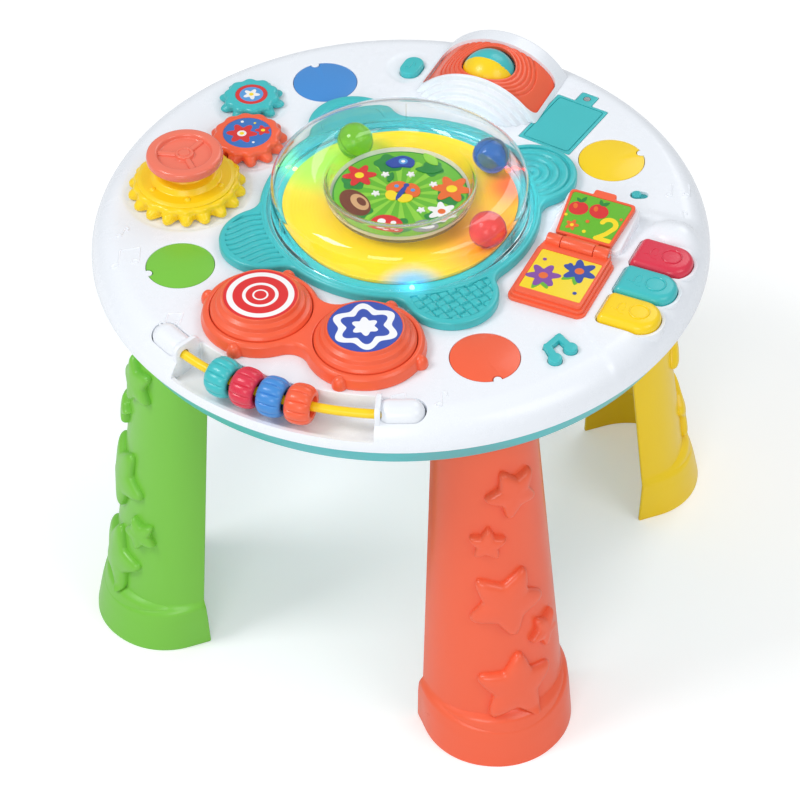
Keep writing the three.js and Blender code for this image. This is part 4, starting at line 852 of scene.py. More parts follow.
def grown(name, flow, values, carrier=None):
    """The plain mesh form that a Geometry Nodes tree makes with those input values."""
    thing = carrier or object_of(name, Form(np.zeros((3, 3)), [(0, 1, 2)]))
    modifier = thing.modifiers.new(name, "NODES")
    modifier.node_group = flow.tree
    for key, value in values.items():
        modifier[flow.names[key][0]] = value
    bpy.context.view_layer.update()
    seen = thing.evaluated_get(bpy.context.evaluated_depsgraph_get())
    result = bpy.data.meshes.new_from_object(seen)
    thing.modifiers.remove(modifier)
    old = thing.data
    thing.data = result
    out = form_of(thing)
    bpy.data.objects.remove(thing)
    bpy.data.meshes.remove(old)
    bpy.data.meshes.remove(result)
    return out.painted(0)


def round_bumps(paint):
    """Low domes set evenly round a circle."""
    flow = Flow("Round bumps")
    count = flow.entry("Count", "Int", 6)
    reach = flow.entry("Reach", "Float", 0.03)
    size = flow.entry("Size", "Float", 0.002)
    points = flow.node("GeometryNodeMeshCircle", inputs={"Vertices": count, "Radius": reach})
    dome = flow.node("GeometryNodeMeshIcoSphere", inputs={"Radius": size, "Subdivisions": 4})
    spread = flow.node("GeometryNodeInstanceOnPoints", inputs={
        "Points": points.outputs[0], "Instance": dome.outputs[0],
    })
    flow.end(spread.outputs[0], paint)
    return flow


def swept_bars(paint):
    """Round bars along every curve that is an edge chain of the carrier mesh."""
    flow = Flow("Swept bars")
    size = flow.entry("Size", "Float", 0.001)
    sides = flow.entry("Sides", "Int", 8)
    lines = flow.node("GeometryNodeMeshToCurve", inputs={"Mesh": flow.inputs.outputs[0]})
    shape = flow.node("GeometryNodeCurvePrimitiveCircle", inputs={"Resolution": sides, "Radius": size})
    bars = flow.node("GeometryNodeCurveToMesh", inputs={
        "Curve": lines.outputs[0], "Profile Curve": shape.outputs[0], "Fill Caps": True,
    })
    flow.end(bars.outputs[0], paint)
    return flow


def bars_along(name, paths, size, sides=8):
    """Swept bars along several open paths in millimetres."""
    mesh = bpy.data.meshes.new(name)
    points, edges = [], []
    for path in paths:
        start = len(points)
        points += [tuple(np.asarray(point) * MM) for point in path]
        edges += [(start + i, start + i + 1) for i in range(len(path) - 1)]
    mesh.from_pydata(points, edges, [])
    carrier = bpy.data.objects.new(name, mesh)
    bpy.context.scene.collection.objects.link(carrier)
    return grown(name, swept_bars(None), {"Size": size * MM, "Sides": sides}, carrier)


# Shapes that several pieces share

def ring_edge(count=720):
    """Radius of the lobed ring at evenly spaced angles."""
    def spoke(angle):
        return np.array([math.cos(angle), math.sin(angle)])

    big, lobe, fillet = 109.0, 36.0, 15.0
    to_centre, to_lobe = big + fillet, lobe + fillet
    at_centre = math.acos((to_centre ** 2 + big ** 2 - to_lobe ** 2) / (2 * to_centre * big))
    at_lobe = math.acos((to_lobe ** 2 + big ** 2 - to_centre ** 2) / (2 * to_lobe * big))
    points = []
    for turn in LEG_TURNS.values():
        t = math.radians(turn)
        for side in (-1, 1):
            start = t + side * at_centre
            centre = to_centre * spoke(start)
            first = start + math.pi
            last = t + side * (math.pi - at_lobe) + (math.pi if side > 0 else -math.pi)
            sweep = (last - first + math.pi) % TAU - math.pi
            arc = [centre + fillet * spoke(first + sweep * k / 12) for k in range(13)]
            if side < 0:
                points += arc
                reach = math.pi - at_lobe
                points += [big * spoke(t) + lobe * spoke(t + reach * k / 30) for k in range(-30, 31)]
            else:
                points += arc[::-1]
    points = np.array(points)
    angles = np.unwrap(np.arctan2(points[:, 1], points[:, 0]))
    radii = np.linalg.norm(points, axis=1)
    order = np.argsort(angles)
    wanted = angles.min() + np.arange(count) * TAU / count
    values = np.interp(wanted, angles[order], radii[order], period=TAU)
    return np.column_stack([values * np.cos(wanted), values * np.sin(wanted)])


def gear_phases():
    first, second = (math.radians(BEARINGS[key]) for key in ("medium", "small"))
    medium = first + math.pi - math.pi / GEARS["medium"]["teeth"]
    wave = GEARS["medium"]["teeth"] * (second - medium)
    small = second + math.pi - (math.pi - wave) / GEARS["small"]["teeth"]
    return {"large": first, "medium": medium, "small": small}


def wave_ring(gear, phase, back, share, z, points=20):
    """One level of a gear: broad lobes with narrower hollows, set back from the pitch circle."""
    teeth = gear["teeth"]
    count = teeth * points
    angle = np.arange(count) * TAU / count
    wave = np.cos(teeth * angle) - 0.16 * np.cos(2 * teeth * angle) * share
    radius = GEAR_MODULE * teeth / 2 - GEAR_RELIEF - 0.25 - back + GEAR_WAVE * share * wave
    return at_height(np.column_stack([radius * np.cos(angle + phase), radius * np.sin(angle + phase)]), z)


def note_outline(grow, low, high):
    """The note button: two round heads, two stems and a beam."""
    spots = {"a": (163.8, -99.0), "b": (167.6, -86.2), "c": (179.6, -93.6), "d": (173.6, -108.6)}
    bars = [("a", "b"), ("b", "c"), ("a", "d")]
    parts = []
    for first, last in bars:
        start, end = np.array(spots[first]), np.array(spots[last])
        along = end - start
        length = float(np.linalg.norm(along))
        turn = math.degrees(math.atan2(along[1], along[0]))
        half = 2.7 + grow
        shape = rounded_box(length + 2 * half, 2 * half, min(1.2, half), 4)
        shape = turned(shape, turn) + (start + end) / 2
        parts.append(block(shape, low, high, 0, 0.9))
    for head in ("c", "d"):
        parts.append(block(circle(5.3 + grow, 40, *spots[head]), low, high, 0, 1.2))
    return parts


def star_form(x_of, z_middle, size, spin, turn, lift):
    """A raised star on a leg: x_of(turn, across, z, out) gives a point on the leg's round side."""
    corners = []
    for i in range(10):
        radius, edge = (size / 2, size * 0.08) if i % 2 == 0 else (size / 4, size * 0.07)
        angle = math.radians(90 + spin + 36 * i)
        corners.append((radius * math.cos(angle), radius * math.sin(angle), edge))
    outline = soften_loop(corners)
    rings = []
    levels = [(1.0, -1.5), (1.0, 0.2), (0.985, lift * 0.3), (0.95, lift * 0.55), (0.9, lift * 0.73),
              (0.83, lift * 0.86), (0.74, lift * 0.94), (0.6, lift), (0.4, lift * 1.05), (0.2, lift * 1.08),
              (0.02, lift * 1.09)]
    for share, out in levels:
        rings.append([x_of(turn, point[0] * share, z_middle + point[1] * share, out) for point in outline])
    return lofted(rings)


# Pieces

def ease(value, edge, width):
    share = np.clip((value - edge) / width + 0.5, 0, 1)
    return share * share * (3 - 2 * share)


def gear_reach(gear):
    return GEAR_MODULE * gear["teeth"] / 2 + GEAR_WAVE - GEAR_RELIEF


def shell_height(x, y):
    """How far the shell's top stands above or below the plateau."""
    gap = np.min([np.hypot(x - g["x"], y - g["y"]) - gear_reach(g) for g in GEARS.values()], axis=0)
    height = -0.9 * (1 - ease(gap, 2.4, 2.2))
    hump = 1 - ((x - 204) / 21) ** 2 - ((y - 60) / 14) ** 2
    height = height + 6.2 * np.clip(hump, 0, 1) ** 0.8 * ease(y, 45.5, 2)
    bend = -60 - 0.55 * (x - 160) - 5 * np.tanh((x - 187) / 8)
    keys_side = ease(y - bend, 0, 5) * ease(x, 172, 14) * (1 - ease(y, 78, 12))
    height = height + 1.6 * keys_side
    arc = np.hypot(x + 68, y - 172)
    music = (1 - ease(arc, 21, 2.4)) * ease(-66 - x, 0, 8)
    return height - 0.9 * music


def mouth(outline, low, lip, above=TOP):
    """A cutter for an opening whose upper edge is rounded outwards."""
    rings = [at_height(outline, low), at_height(outline, above - lip)]
    for i in range(1, 5):
        angle = math.pi / 2 * i / 4
        back, rise = -lip * (1 - math.cos(angle)), lip * math.sin(angle)
        rings.append(at_height(inset(outline, back), above - lip + rise))
    rings.append(at_height(inset(outline, -lip - 0.3), above + 12))
    return lofted(rings)


def sector(inner, outer, first, last, steps=40):
    angles = np.radians(np.linspace(first, last, steps + 1))
    out = np.column_stack([outer * np.cos(angles), outer * np.sin(angles)])
    back = np.column_stack([inner * np.cos(angles[::-1]), inner * np.sin(angles[::-1])])
    return np.vstack([out, back])


def key_outline(y, grow=0.0):
    """A key from above: nearly square behind, round in front."""
    half, inner, outer = 16.5 + grow, 5 + grow, 15.5 + grow
    x0, x1 = 184 - grow, 229 + grow
    points = []
    spots = [(x1 - outer, y - half + outer, outer, -90), (x1 - outer, y + half - outer, outer, 0),
             (x0 + inner, y + half - inner, inner, 90), (x0 + inner, y - half + inner, inner, 180)]
    for cx, cy, radius, start in spots:
        for i in range(13):
            points.append((cx, cy) + polar(radius, start + 90 * i / 12))
    return np.array(points)


def bay_spot(across, along):
    return turned([across, along], BAY["turn"]) + (BAY["x"], BAY["y"])


def lid_outline(grow=0.0):
    """The battery lid from above: a plate with an ear for its screw."""
    w, l, tw, tl = 23 + grow, 32 + grow, 7.5 + grow, 45 + grow
    corners = [(-w, -l, 1.6), (w, -l, 1.6), (w, l, 1.6), (tw, l, 0.8), (tw, tl, 2.2), (-tw, tl, 2.2),
               (-tw, l, 0.8), (-w, l, 1.6)]
    return turned(soften_loop(corners, 4), BAY["turn"]) + (BAY["x"], BAY["y"])


def pill(half_width, length, turn, x, y):
    points = [polar(half_width, a) + (0, length / 2) for a in np.linspace(0, 180, 17)]
    points += [polar(half_width, a) - (0, length / 2) for a in np.linspace(180, 360, 17)]
    return turned(np.array(points), turn) + (x, y)


def plug_outline(turn, grow):
    """The round hole for a leg's plug, with the shell's small key in it."""
    radius, key, reach = PLUG_RADIUS + grow, PLUG_NOTCH - 0.4 - grow, PLUG_NOTCH_REACH
    meet = math.degrees(math.acos((radius ** 2 + reach ** 2 - key ** 2) / (2 * radius * reach)))
    points = [polar(radius, a) for a in np.linspace(meet, 360 - meet, 120)]
    tip = points[-1] - (reach, 0)
    start = math.degrees(math.atan2(tip[1], tip[0]))
    sweep = np.linspace(start % 360, 360 - start % 360, 17)[1:-1]
    points += [np.array([reach, 0]) + polar(key, a) for a in sweep]
    return turned(np.array(points) + (PLUG_REACH, 0), turn)


def cover_rest():
    """White ramp under the open cover."""
    tilt = math.radians(COVER_TILT)
    slope = math.tan(tilt)
    shape = rounded_box(59, 45, 5, 6, BOOK_X, 39.5)
    levels = []
    for back, drop in ((0, None), (0, 1.4), (0.4, 0.6), (1.2, 0.1), (2.0, 0.0)):
        ring = inset(shape, back)
        z = HINGE_Z + (ring[:, 1] - HINGE_Y) * slope - 5.6 - (drop or 0)
        if drop is None:
            z = np.full(len(ring), TOP - 2.0)
        levels.append(np.column_stack([ring, np.maximum(z, TOP - 2.0)]))
    return lofted(levels)


def top_shell():
    sizes = bpy.context.scene.table_sizes
    lip = sizes.shell_edge / MM
    count = 640
    angles = np.arange(count) * TAU / count
    c, s = np.cos(angles), np.sin(angles)
    unit = np.column_stack([c, s])
    rings = []
    for radius in np.linspace(RING_OPENING, PLATEAU, 64):
        x, y = radius * c, radius * s
        rings.append(np.column_stack([x, y, TOP + shell_height(x, y)]))
    for k in range(1, 17):
        a = math.pi / 2 * k / 16
        radius, z = PLATEAU + RIM_REACH * math.sin(a), RIM_LOW + RIM_RISE * math.cos(a)
        x, y = radius * c, radius * s
        rings.append(np.column_stack([x, y, z + shell_height(x, y) * math.cos(a)]))
    rings += [at_height(unit * radius, z) for radius, z in ((239.6, 332.4), (237.6, 332.4), (237, 333))]
    for k in range(7, -1, -1):
        a = math.pi / 2 * k / 8
        radius = PLATEAU + (RIM_REACH - SHELL_WALL) * math.sin(a)
        rings.append(at_height(unit * radius, RIM_LOW + (RIM_RISE - SHELL_WALL) * math.cos(a)))
    rings.append(at_height(unit * RING_OPENING, TOP - SHELL_WALL))
    skin = lofted(rings, closed=True)
    outer = [(0, 333.5), (239.9, 333.5)]
    outer += [(PLATEAU + 22.9 * math.sin(a), RIM_LOW + 24.9 * math.cos(a)) for a in np.linspace(1.5, 0, 24)]
    trough = block(bent(rounded_box(33, 240, 12, 8, -3.4), 270), 335, TOP - 0.4)
    walls = [kept_inside(trough, spun(outer + [(0, TOP - 0.1)], 360))]
    walls += [block(key_outline(y, 3), 347, TOP - 0.3) for y in KEY_YS.values()]
    axle_hole = bar_x(2.3, -40, 40, ROLLER_Y, ROLLER_Z, 32, 0.01)
    walls += [cut(block(rounded_box(4.6, 12, 1.2, 4, side * 25.1, ROLLER_Y), 355.5, 374.2, 0, 0.6), axle_hole)
              for side in (-1, 1)]
    body = welded(skin, *walls, cover_rest())
    tools = [mouth(plug_outline(turn, 0.4), 340, 0.5) for turn in LEG_TURNS.values()]
    tools += [mouth(key_outline(y, 0.5), 350, lip) for y in KEY_YS.values()]
    tools.append(mouth(sector(225, 250, 249.9, 290.1), 341.2, 2.0))
    tools.append(mouth(bent(rounded_box(27.9, 157.4, 2, 5, -2.2), 270), 338, lip))
    for side in (-1, 1):
        tools.append(mouth(bent(rounded_box(21.2, 37.4, 10.2, 12, -3.9), 270 + side * 24.9), 338, 0.5))
    tools.append(mouth(circle(22.4, 96, 0, ROLLER_Y), 340, 0.3))
    tools.append(mouth(lid_outline(0.45), 345, 0.5))
    tools.append(mouth(pill(8.6, 8, 0, *MUSIC_SPOT), 340, lip))
    tools.append(mouth(pill(4.4, 5, SWITCH_TURN, *SWITCH_SPOT), 340, lip))
    body = cut(body, *tools)
    body = cut(body, *note_outline(0.45, 340, TOP + 9))
    return body + shell_notes()


def shell_notes():
    """Faint raised notes and strokes on the shell's rim."""
    lift = bpy.context.scene.table_sizes.note_height / MM
    paths = []

    def note(x, y, turn, size, double):
        strokes = []
        heads = [(-0.45, -0.5), (0.45, -0.3)] if double else [(0, -0.5)]
        for hx, hy in heads:
            around = np.linspace(0, TAU, 17)
            strokes.append([(hx + 0.16 * math.cos(t), hy + 0.13 * math.sin(t)) for t in around])
            strokes.append([(hx + 0.16, hy), (hx + 0.16, hy + 0.95)])
        if double:
            strokes.append([(-0.29, 0.45), (0.61, 0.65)])
        else:
            strokes.append([(0.16, 0.45), (0.4, 0.3), (0.42, 0.05)])
        for stroke in strokes:
            spots = turned(np.array(stroke) * size, turn) + (x, y)
            paths.append([(px, py, rim_height(px, py) + lift - 0.75) for px, py in spots])

    for spot in ((-168, -134, 25, 17, True), (-186, -108, 10, 12, False), (-103, -182, 15, 12, True),
                 (112, -178, 25, 15, False), (86, -194, 30, 12, True), (186, 112, 20, 15, True),
                 (199, 84, 25, 11, False)):
        note(*spot)
    return bars_along("Raised notes", paths, 0.85, 8)


def rim_height(x, y):
    radius = math.hypot(x, y)
    share = min(max((radius - PLATEAU) / RIM_REACH, 0), 1)
    return RIM_LOW + RIM_RISE * math.sqrt(1 - share ** 2) if radius > PLATEAU else TOP


def base_casing():
    profile = soften([(0, 313), (229, 313, 2.5), (237.5, 332.7, 0.4), (235.4, 332.7), (235.4, 334.4, 0.3),
                      (233.2, 334.4, 0.3), (226, 316, 2), (0, 316)])
    shape = spun(profile, 256)
    posts, holes = [], []
    for turn in LEG_TURNS.values():
        x, y = polar(PLUG_REACH, turn)
        posts.append(block(circle(27.8, 96, x, y), 314, 354.7))
        holes.append(block(circle(26.3, 96, x, y), 300, 360))
    for turn in (22, 105, 202, 300):
        x, y = polar(205, turn)
        posts.append(block(circle(8, 48, x, y), 314, 319, 0, 0.5))
        holes.append(block(circle(4.4, 40, x, y), 300, 316))
        holes.append(block(circle(1.9, 24, x, y), 300, 325))
    for k in range(5):
        offset = (k - 2) * 54 / 6
        half = math.sqrt(27 ** 2 - offset ** 2) - 8
        slot = rounded_box(2 * half, 2.8, 1.3, 6, -66, -52 + offset)
        holes.append(block(slot, 300, 320))
    return cut(welded(shape, *posts), *holes)


def leg_measure(z):
    """Middle, half width and open edge of a leg's section at a height."""
    heights = [0, 30, 42.5, 46, 285, 312.7]
    table = {"centre": [213, 206, 203, 198.3, 177.2, 175], "half": [61, 61, 60.3, 57, 40.7, 39],
             "inner": [194, 195, 195.6, 196, 172.5, 150]}
    spots = np.linspace(z - 2.2, z + 2.2, 9) if z > 3 else np.array([z])
    return [float(np.mean(np.interp(spots, heights, values))) for values in table.values()]


def leg_form():
    lift = bpy.context.scene.table_sizes.star_lift / MM
    levels = list(np.concatenate([[0, 0.4, 1.2, 3], np.arange(6, 54, 1.2), np.arange(56, 312, 8.0), [312.7]]))

    def u_ring(z, foot=0.0):
        centre, half, inner = leg_measure(z)
        out, within = half - foot, half - 3 + foot
        points = []
        for a in np.linspace(-90, 90, 61):
            middle, reach, _ = leg_measure(z + 9.5 * math.cos(math.radians(a)) ** 1.5)
            points.append(np.array([middle, 0]) + polar(reach - foot, a))
        points += [np.array([inner + 0.8 + foot, out]), np.array([inner + foot, out - 0.7]),
                   np.array([inner + foot, within + 0.7]), np.array([inner + 0.8 + foot, within])]
        points += [np.array([centre, 0]) + polar(within, a) for a in np.linspace(90, -90, 61)]
        points += [np.array([inner + 0.8 + foot, -within]), np.array([inner + foot, -within - 0.7]),
                   np.array([inner + foot, -out + 0.7]), np.array([inner + 0.8 + foot, -out])]
        return at_height(points, z)

    walls = lofted([u_ring(z, {0: 0.8, 0.4: 0.25}.get(round(z, 1), 0.0)) for z in levels])

    def plate_ring(z):
        centre, half, inner = leg_measure(z)
        points = [np.array([centre, 0]) + polar(half - 1.5, a) for a in np.linspace(-90, 90, 61)]
        points += [np.array([inner + 1.5, half - 1.5]), np.array([inner + 1.5, -half + 1.5])]
        return at_height(points, z)

    plate = lofted([plate_ring(309.7), plate_ring(312.7)])
    tube_wall = spun([(0, 355.4), (23.4, 355.4), (23.4, 308), (25.9, 308), (25.9, 357.3), (25.75, 357.75),
                      (25.3, 357.9), (0, 357.9)], 128).moved(PLUG_REACH)
    notch = block(circle(PLUG_NOTCH, 40, PLUG_REACH + PLUG_NOTCH_REACH), 349.9, 360)

    def on_side(turn, across, z, out):
        centre, half, _ = leg_measure(z)
        angle = math.radians(turn) + across / half
        return (centre + (half + out) * math.cos(angle), (half + out) * math.sin(angle), z)

    stars = [star_form(on_side, z, size, spin, turn, lift) for z, turn, size, spin in
             [(258, 8, 52, 22), (215, -20, 34, -4), (156, -4, 76, -28), (114, 33, 38, 30), (71, 1, 78, -6)]]
    body = welded(walls, plate, *stars)
    return cut(welded(body, tube_wall), notch)


def pad_grid(height, turn):
    """The pattern of one pad of the ring and the zone that it fills."""
    points = [np.array([109, 0]) + polar(31.2, a) for a in np.linspace(-112, 112, 90)]
    arc = [polar(107.6, a) for a in np.linspace(15.2, -15.2, 30)]
    outline = np.array([p for p in points if np.hypot(*p) > 108.2] + arc)
    zone = lofted([at_height(outline, 362), at_height(outline, 367.5)])
    patch = relief(104, 143, -34, 34, 0.6, height, 363.6)
    return kept_inside(patch, zone).turned(turn), lofted([at_height(outline, 364.2),
                                                          at_height(outline, 368)]).turned(turn)


def groove(across, pitch, depth):
    """Height of broad ribs with thin grooves between them."""
    share = np.abs(np.cos(np.pi * across / pitch))
    return 366.1 - 0.45 * share ** 2 - depth * share ** 10


def ribs(x, y):
    return groove(y + 1.9 * np.sin((x - 104) / 42 * TAU) - 3.0, 6.0, 2.2)


def arches(x, y):
    return groove(np.where(x > 108, np.hypot(x - 108, y), np.abs(y)) - 1.6, 7.4, 1.8)


def pad_line(x, y):
    reach = np.where(x > 109, np.hypot(x - 109, y), np.abs(y))
    return 365.9 - 1.1 * ease(reach, 24.5, 1.6) * (1 - ease(reach, 26.4, 1.6))


def weave(x, y):
    size = bpy.context.scene.table_sizes.weave_pitch / MM
    u, v = (x * 0.97 + y * 0.24) / size, (y * 0.97 - x * 0.24) / size
    odd = (np.floor(u) + np.floor(v)) % 2 > 0
    fu, fv = u - np.floor(u) - 0.5, v - np.floor(v) - 0.5
    bow = np.where(odd, fu, fv)
    edge = np.maximum(np.abs(fu), np.abs(fv))
    return 366.3 - 4.4 * bow ** 2 - 1.3 * ease(edge, 0.45, 0.07) - np.where(odd, 0.7, 0)


def centre_ring():
    outline = ring_edge()
    angles = np.arctan2(outline[:, 1], outline[:, 0])
    unit = np.column_stack([np.cos(angles), np.sin(angles)])
    rings = [at_height(inset(outline, back), z) for back, z in edge_levels(358.3, 366, 0.5, 2.5, 6)]
    limit = np.linalg.norm(rings[-1][:, :2], axis=1)
    rings.append(at_height(unit * np.minimum(limit - 0.15, 107.3)[:, None], 366.0))
    rings += [at_height(unit * r, z) for r, z in (
        (106.2, 366.0), (105.7, 366.4), (104.2, 366.5), (103.5, 366.2), (103.2, 365.6), (103.2, 362.0),
        (92.4, 362.0), (92.4, 350.3), (94.4, 350.3), (94.4, 358.3))]
    body = lofted(rings, closed=True)
    patches = [pad_grid(height, turn) for height, turn in
               ((arches, 45), (pad_line, 135), (ribs, 225), (weave, 315))]
    lenses = [block(circle(2.25, 32, *polar(LIGHT_REACH, turn)), 340, 364) for turn in LIGHTS.values()]
    body = cut(body, *[zone for _, zone in patches], *lenses)
    return body + joined([patch for patch, _ in patches])


def clear_dome():
    """Clear ring-shaped dome with a whitish band of painted highlight at the well foot and three thin seams.
    """
    centre, half = (99.4 + 56) / 2, (99.4 - 56) / 2

    def arc(width, rise, steps):
        out = []
        for i in range(steps + 1):
            t = math.pi * i / steps
            across = math.copysign(abs(math.cos(t)) ** 0.8, math.cos(t))
            out.append((centre - width * across, 386 + rise * math.sin(t) ** 0.8))
        return out

    profile = [(0, 372.7), (54.6, 372.7)] + arc(half - 2, 12, 36)
    profile += [(97.9, 362.3), (102.8, 362.3), (102.8, 364.4), (102.4, 364.8), (100.4, 364.8), (99.9, 365.3)]
    profile += arc(half, 14, 36)[::-1] + [(53.8, 378.7), (52.9, 375.6), (52.2, 374.7), (0, 374.7)]
    form = spun(profile, 192)
    # Faces round the well foot take the second paint, the whitish painted highlight.
    for number, face in enumerate(form.faces):
        spots = form.points[list(face)]
        reach = np.hypot(spots[:, 0], spots[:, 1])
        if reach.max() < 58 and spots[:, 2].min() > 374.6 and spots[:, 2].max() < 384:
            form.paint[number] = 1
    seams = []
    for turn in (112, 229, 354):
        levels = [(99.95, 365.6), (99.7, 372), (99.55, 379), (99.45, 386)]
        seams.append([(*polar(r, turn), z) for r, z in levels])
    return form + bars_along("Dome seams", seams, 0.28, 6)


def turntable_form():
    profile = soften([(0, 352), (8, 352), (8, 361.5), (91.8, 361.5), (91.8, 365.2, 0.5), (85.8, 364, 3),
                      (60, 363.9), (8, 364), (8, 371), (0, 371)])
    return spun(profile, 192)


# Balls, lights and picture

def round_ball(radius, seam=0.35):
    """A moulded ball with a fine seam round its middle."""
    profile = []
    for a in np.concatenate([np.linspace(-90, -3, 40), [-1.6, -0.8, 0.8, 1.6], np.linspace(3, 90, 40)]):
        depth = seam if abs(a) < 1 else 0
        angle = math.radians(a)
        profile.append(((radius - depth) * math.cos(angle), radius * math.sin(angle)))
    profile[0], profile[-1] = (0, -radius), (0, radius)
    return spun(profile, 96)


def light_form(turn):
    profile = soften([(0, 351.8), (2, 351.8, 0.2), (2, 362.0, 0.4), (1.6, 363.1, 1.0), (0, 363.2)], 8)
    x, y = polar(LIGHT_REACH, turn)
    return spun(profile, 40).moved(x, y)


def smooth_loop(points, steps=6):
    """A closed curve through the points."""
    points = np.asarray(points, float)
    out = []
    for i in range(len(points)):
        a, b, c, d = (points[(i + k) % len(points)] for k in (-1, 0, 1, 2))
        for t in np.arange(steps) / steps:
            out.append(0.5 * (2 * b + (c - a) * t + (2 * a - 5 * b + 4 * c - d) * t ** 2
                              + (3 * b - a - 3 * c + d) * t ** 3))
    return np.array(out)


def petals(radius, count, depth, x=0.0, y=0.0, turn=0.0, steps=16):
    angles = np.arange(count * steps) * TAU / (count * steps)
    reach = radius * (1 + depth * np.cos(count * angles))
    return turned(np.column_stack([reach * np.cos(angles), reach * np.sin(angles)]), turn) + (x, y)


def oval(across, along, x=0.0, y=0.0, turn=0.0, count=36):
    return turned(circle(1, count) * (across, along), turn) + (x, y)


def leaf(length, width, x=0.0, y=0.0, turn=0.0):
    points = [(0, 0), (length * 0.35, width / 2), (length * 0.7, width * 0.4), (length, 0),
              (length * 0.7, -width * 0.4), (length * 0.35, -width / 2)]
    return turned(smooth_loop(points), turn) + (x, y)


def stroke(path, half):
    """Outline of a line with width and round ends."""
    path = np.asarray(path, float)
    ahead = np.gradient(path, axis=0)
    ahead /= np.linalg.norm(ahead, axis=1, keepdims=True)
    side = np.column_stack([-ahead[:, 1], ahead[:, 0]]) * half
    start = math.degrees(math.atan2(-ahead[0, 1], -ahead[0, 0]))
    end = math.degrees(math.atan2(ahead[-1, 1], ahead[-1, 0]))
    tail = [path[0] + polar(half, a) for a in np.linspace(start - 80, start + 80, 7)]
    head = [path[-1] + polar(half, a) for a in np.linspace(end - 80, end + 80, 7)]
    return np.vstack([path - side, head, (path + side)[::-1], tail])


def inked(z, prints, step=0.025):
    """Flat prints laid on a sticker; each is an outline and the number of its paint."""
    forms = []
    for order, (outline, paint) in enumerate(prints):
        top = z + step * (order + 1)
        forms.append(block(outline, z - 0.1, top).painted(paint))
    return forms


def flower(x, y, size, petal, middle, turn=0.0):
    return [(petals(size, 6, 0.28, x, y, turn), petal), (circle(size * 0.34, 24, x, y), middle)]


def picture_form():
    """Picture under the dome: sunburst meadow with plain plants, stones and a butterfly."""
    pale, forest, brown, sand, scarlet, orange, grey, paper, lemon, sky, navy = range(1, 12)
    low, high = 375.0, 375.7
    base = block(circle(52.2, 160), low, high, 0, 0.2).painted(0)
    rays = []
    for k in range(16):
        a = 360 / 16 * k + 4
        rays.append(np.array([polar(3, a), polar(40, a - 5.2), polar(41, a), polar(40, a + 5.2)]))
    forms = [block(outline, high - 0.1, high + 0.06).painted(pale) for outline in rays]
    edge = ((51.0, high - 0.1), (51.0, high + 0.05), (51.9, high + 0.05), (51.9, high - 0.1))
    ring = lofted([at_height(circle(r, 160), z) for r, z in edge], closed=True)
    forms.append(ring.painted(forest))
    prints = []
    for turn, size in ((18, 14), (75, 12), (128, 15), (182, 13), (236, 15), (292, 13), (338, 11)):
        x, y = polar(42.5 - size * 0.3, turn)
        prints.append((petals(size * 0.72, 5, 0.12, x, y, turn), forest))
    prints += [(oval(17, 10.5, -27, -24, -38), brown), (oval(10.5, 6, -24, -22, -38), sand),
               (oval(5.5, 3, -23, -21, -38), brown)]
    cap = [(-6, -44), (-6, -34), (0, -28), (9, -27), (17, -32), (19, -41), (6, -44.5)]
    prints.append((smooth_loop(cap), scarlet))
    for radius, count, x, y in ((3.2, 24, 1, -36), (2.2, 20, 10, -34), (2.4, 20, 7, -41), (1.7, 18, 15, -39)):
        prints.append((circle(radius, count, x, y), paper))
    prints += flower(34, 21, 12.5, orange, lemon, 15) + flower(38, -7, 9, paper, orange, 0)
    prints += flower(-38, 7, 10.5, scarlet, lemon, 30)
    prints += [(leaf(21, 9, 18, 39, 200), forest), (leaf(18, 8, 12, 43, 150), pale),
               (leaf(12, 5, -14, 9, 100), forest)]
    stone = [(24, -32), (28, -23), (37, -20), (43, -25), (38, -33), (30, -36)]
    prints += [(smooth_loop(stone), grey), (oval(6, 3.4, 34, -27, 20), paper)]
    prints += [(oval(8.5, 6, -6, 6, 50), orange), (oval(8.5, 6, 7, 7, -50), orange),
               (oval(6, 4.6, -5, -5, -40), lemon), (oval(6, 4.6, 6, -4, 40), lemon),
               (oval(2.1, 9.5, 0.5, 1, 0), navy), (circle(2.2, 20, 0.5, 10.5), navy),
               (circle(1.8, 18, -6, 6.5), sky), (circle(1.8, 18, 7.5, 7), sky)]
    pebble = [(-26, 30), (-18, 42), (-7, 41), (-5, 33), (-12, 30), (-19, 26)]
    prints += [(smooth_loop(pebble), navy), (circle(3.6, 24, -14, 36), sky),
               (circle(1.6, 18, -14, 36), paper)]
    for x, y in ((-20, 16), (19, 20), (23, -12), (-17, -8), (-2, 24)):
        prints.append((petals(2.6, 5, 0.3, x, y), paper))
    forms += inked(high + 0.07, prints)
    return joined([base, *forms])


# Drums

def peanut_outline(grow=0.0):
    """Outline of the drum housing: two round lobes with a narrow waist."""
    big, fillet, offset = 45 + grow, 15.357 - grow, 42.857
    meet = math.degrees(math.atan2(offset, -DRUM_HALF))
    points = [(DRUM_HALF, 0) + polar(big, a) for a in np.linspace(-meet, meet, 81)]
    points += [(0, offset) + polar(fillet, a) for a in np.linspace(meet - 180, -meet, 15)[1:-1]]
    points += [(-DRUM_HALF, 0) + polar(big, a) for a in np.linspace(180 - meet, 180 + meet, 81)]
    points += [(0, -offset) + polar(fillet, a) for a in np.linspace(meet, 180 - meet, 15)[1:-1]]
    return np.array(points) + (0, DRUM_Y)


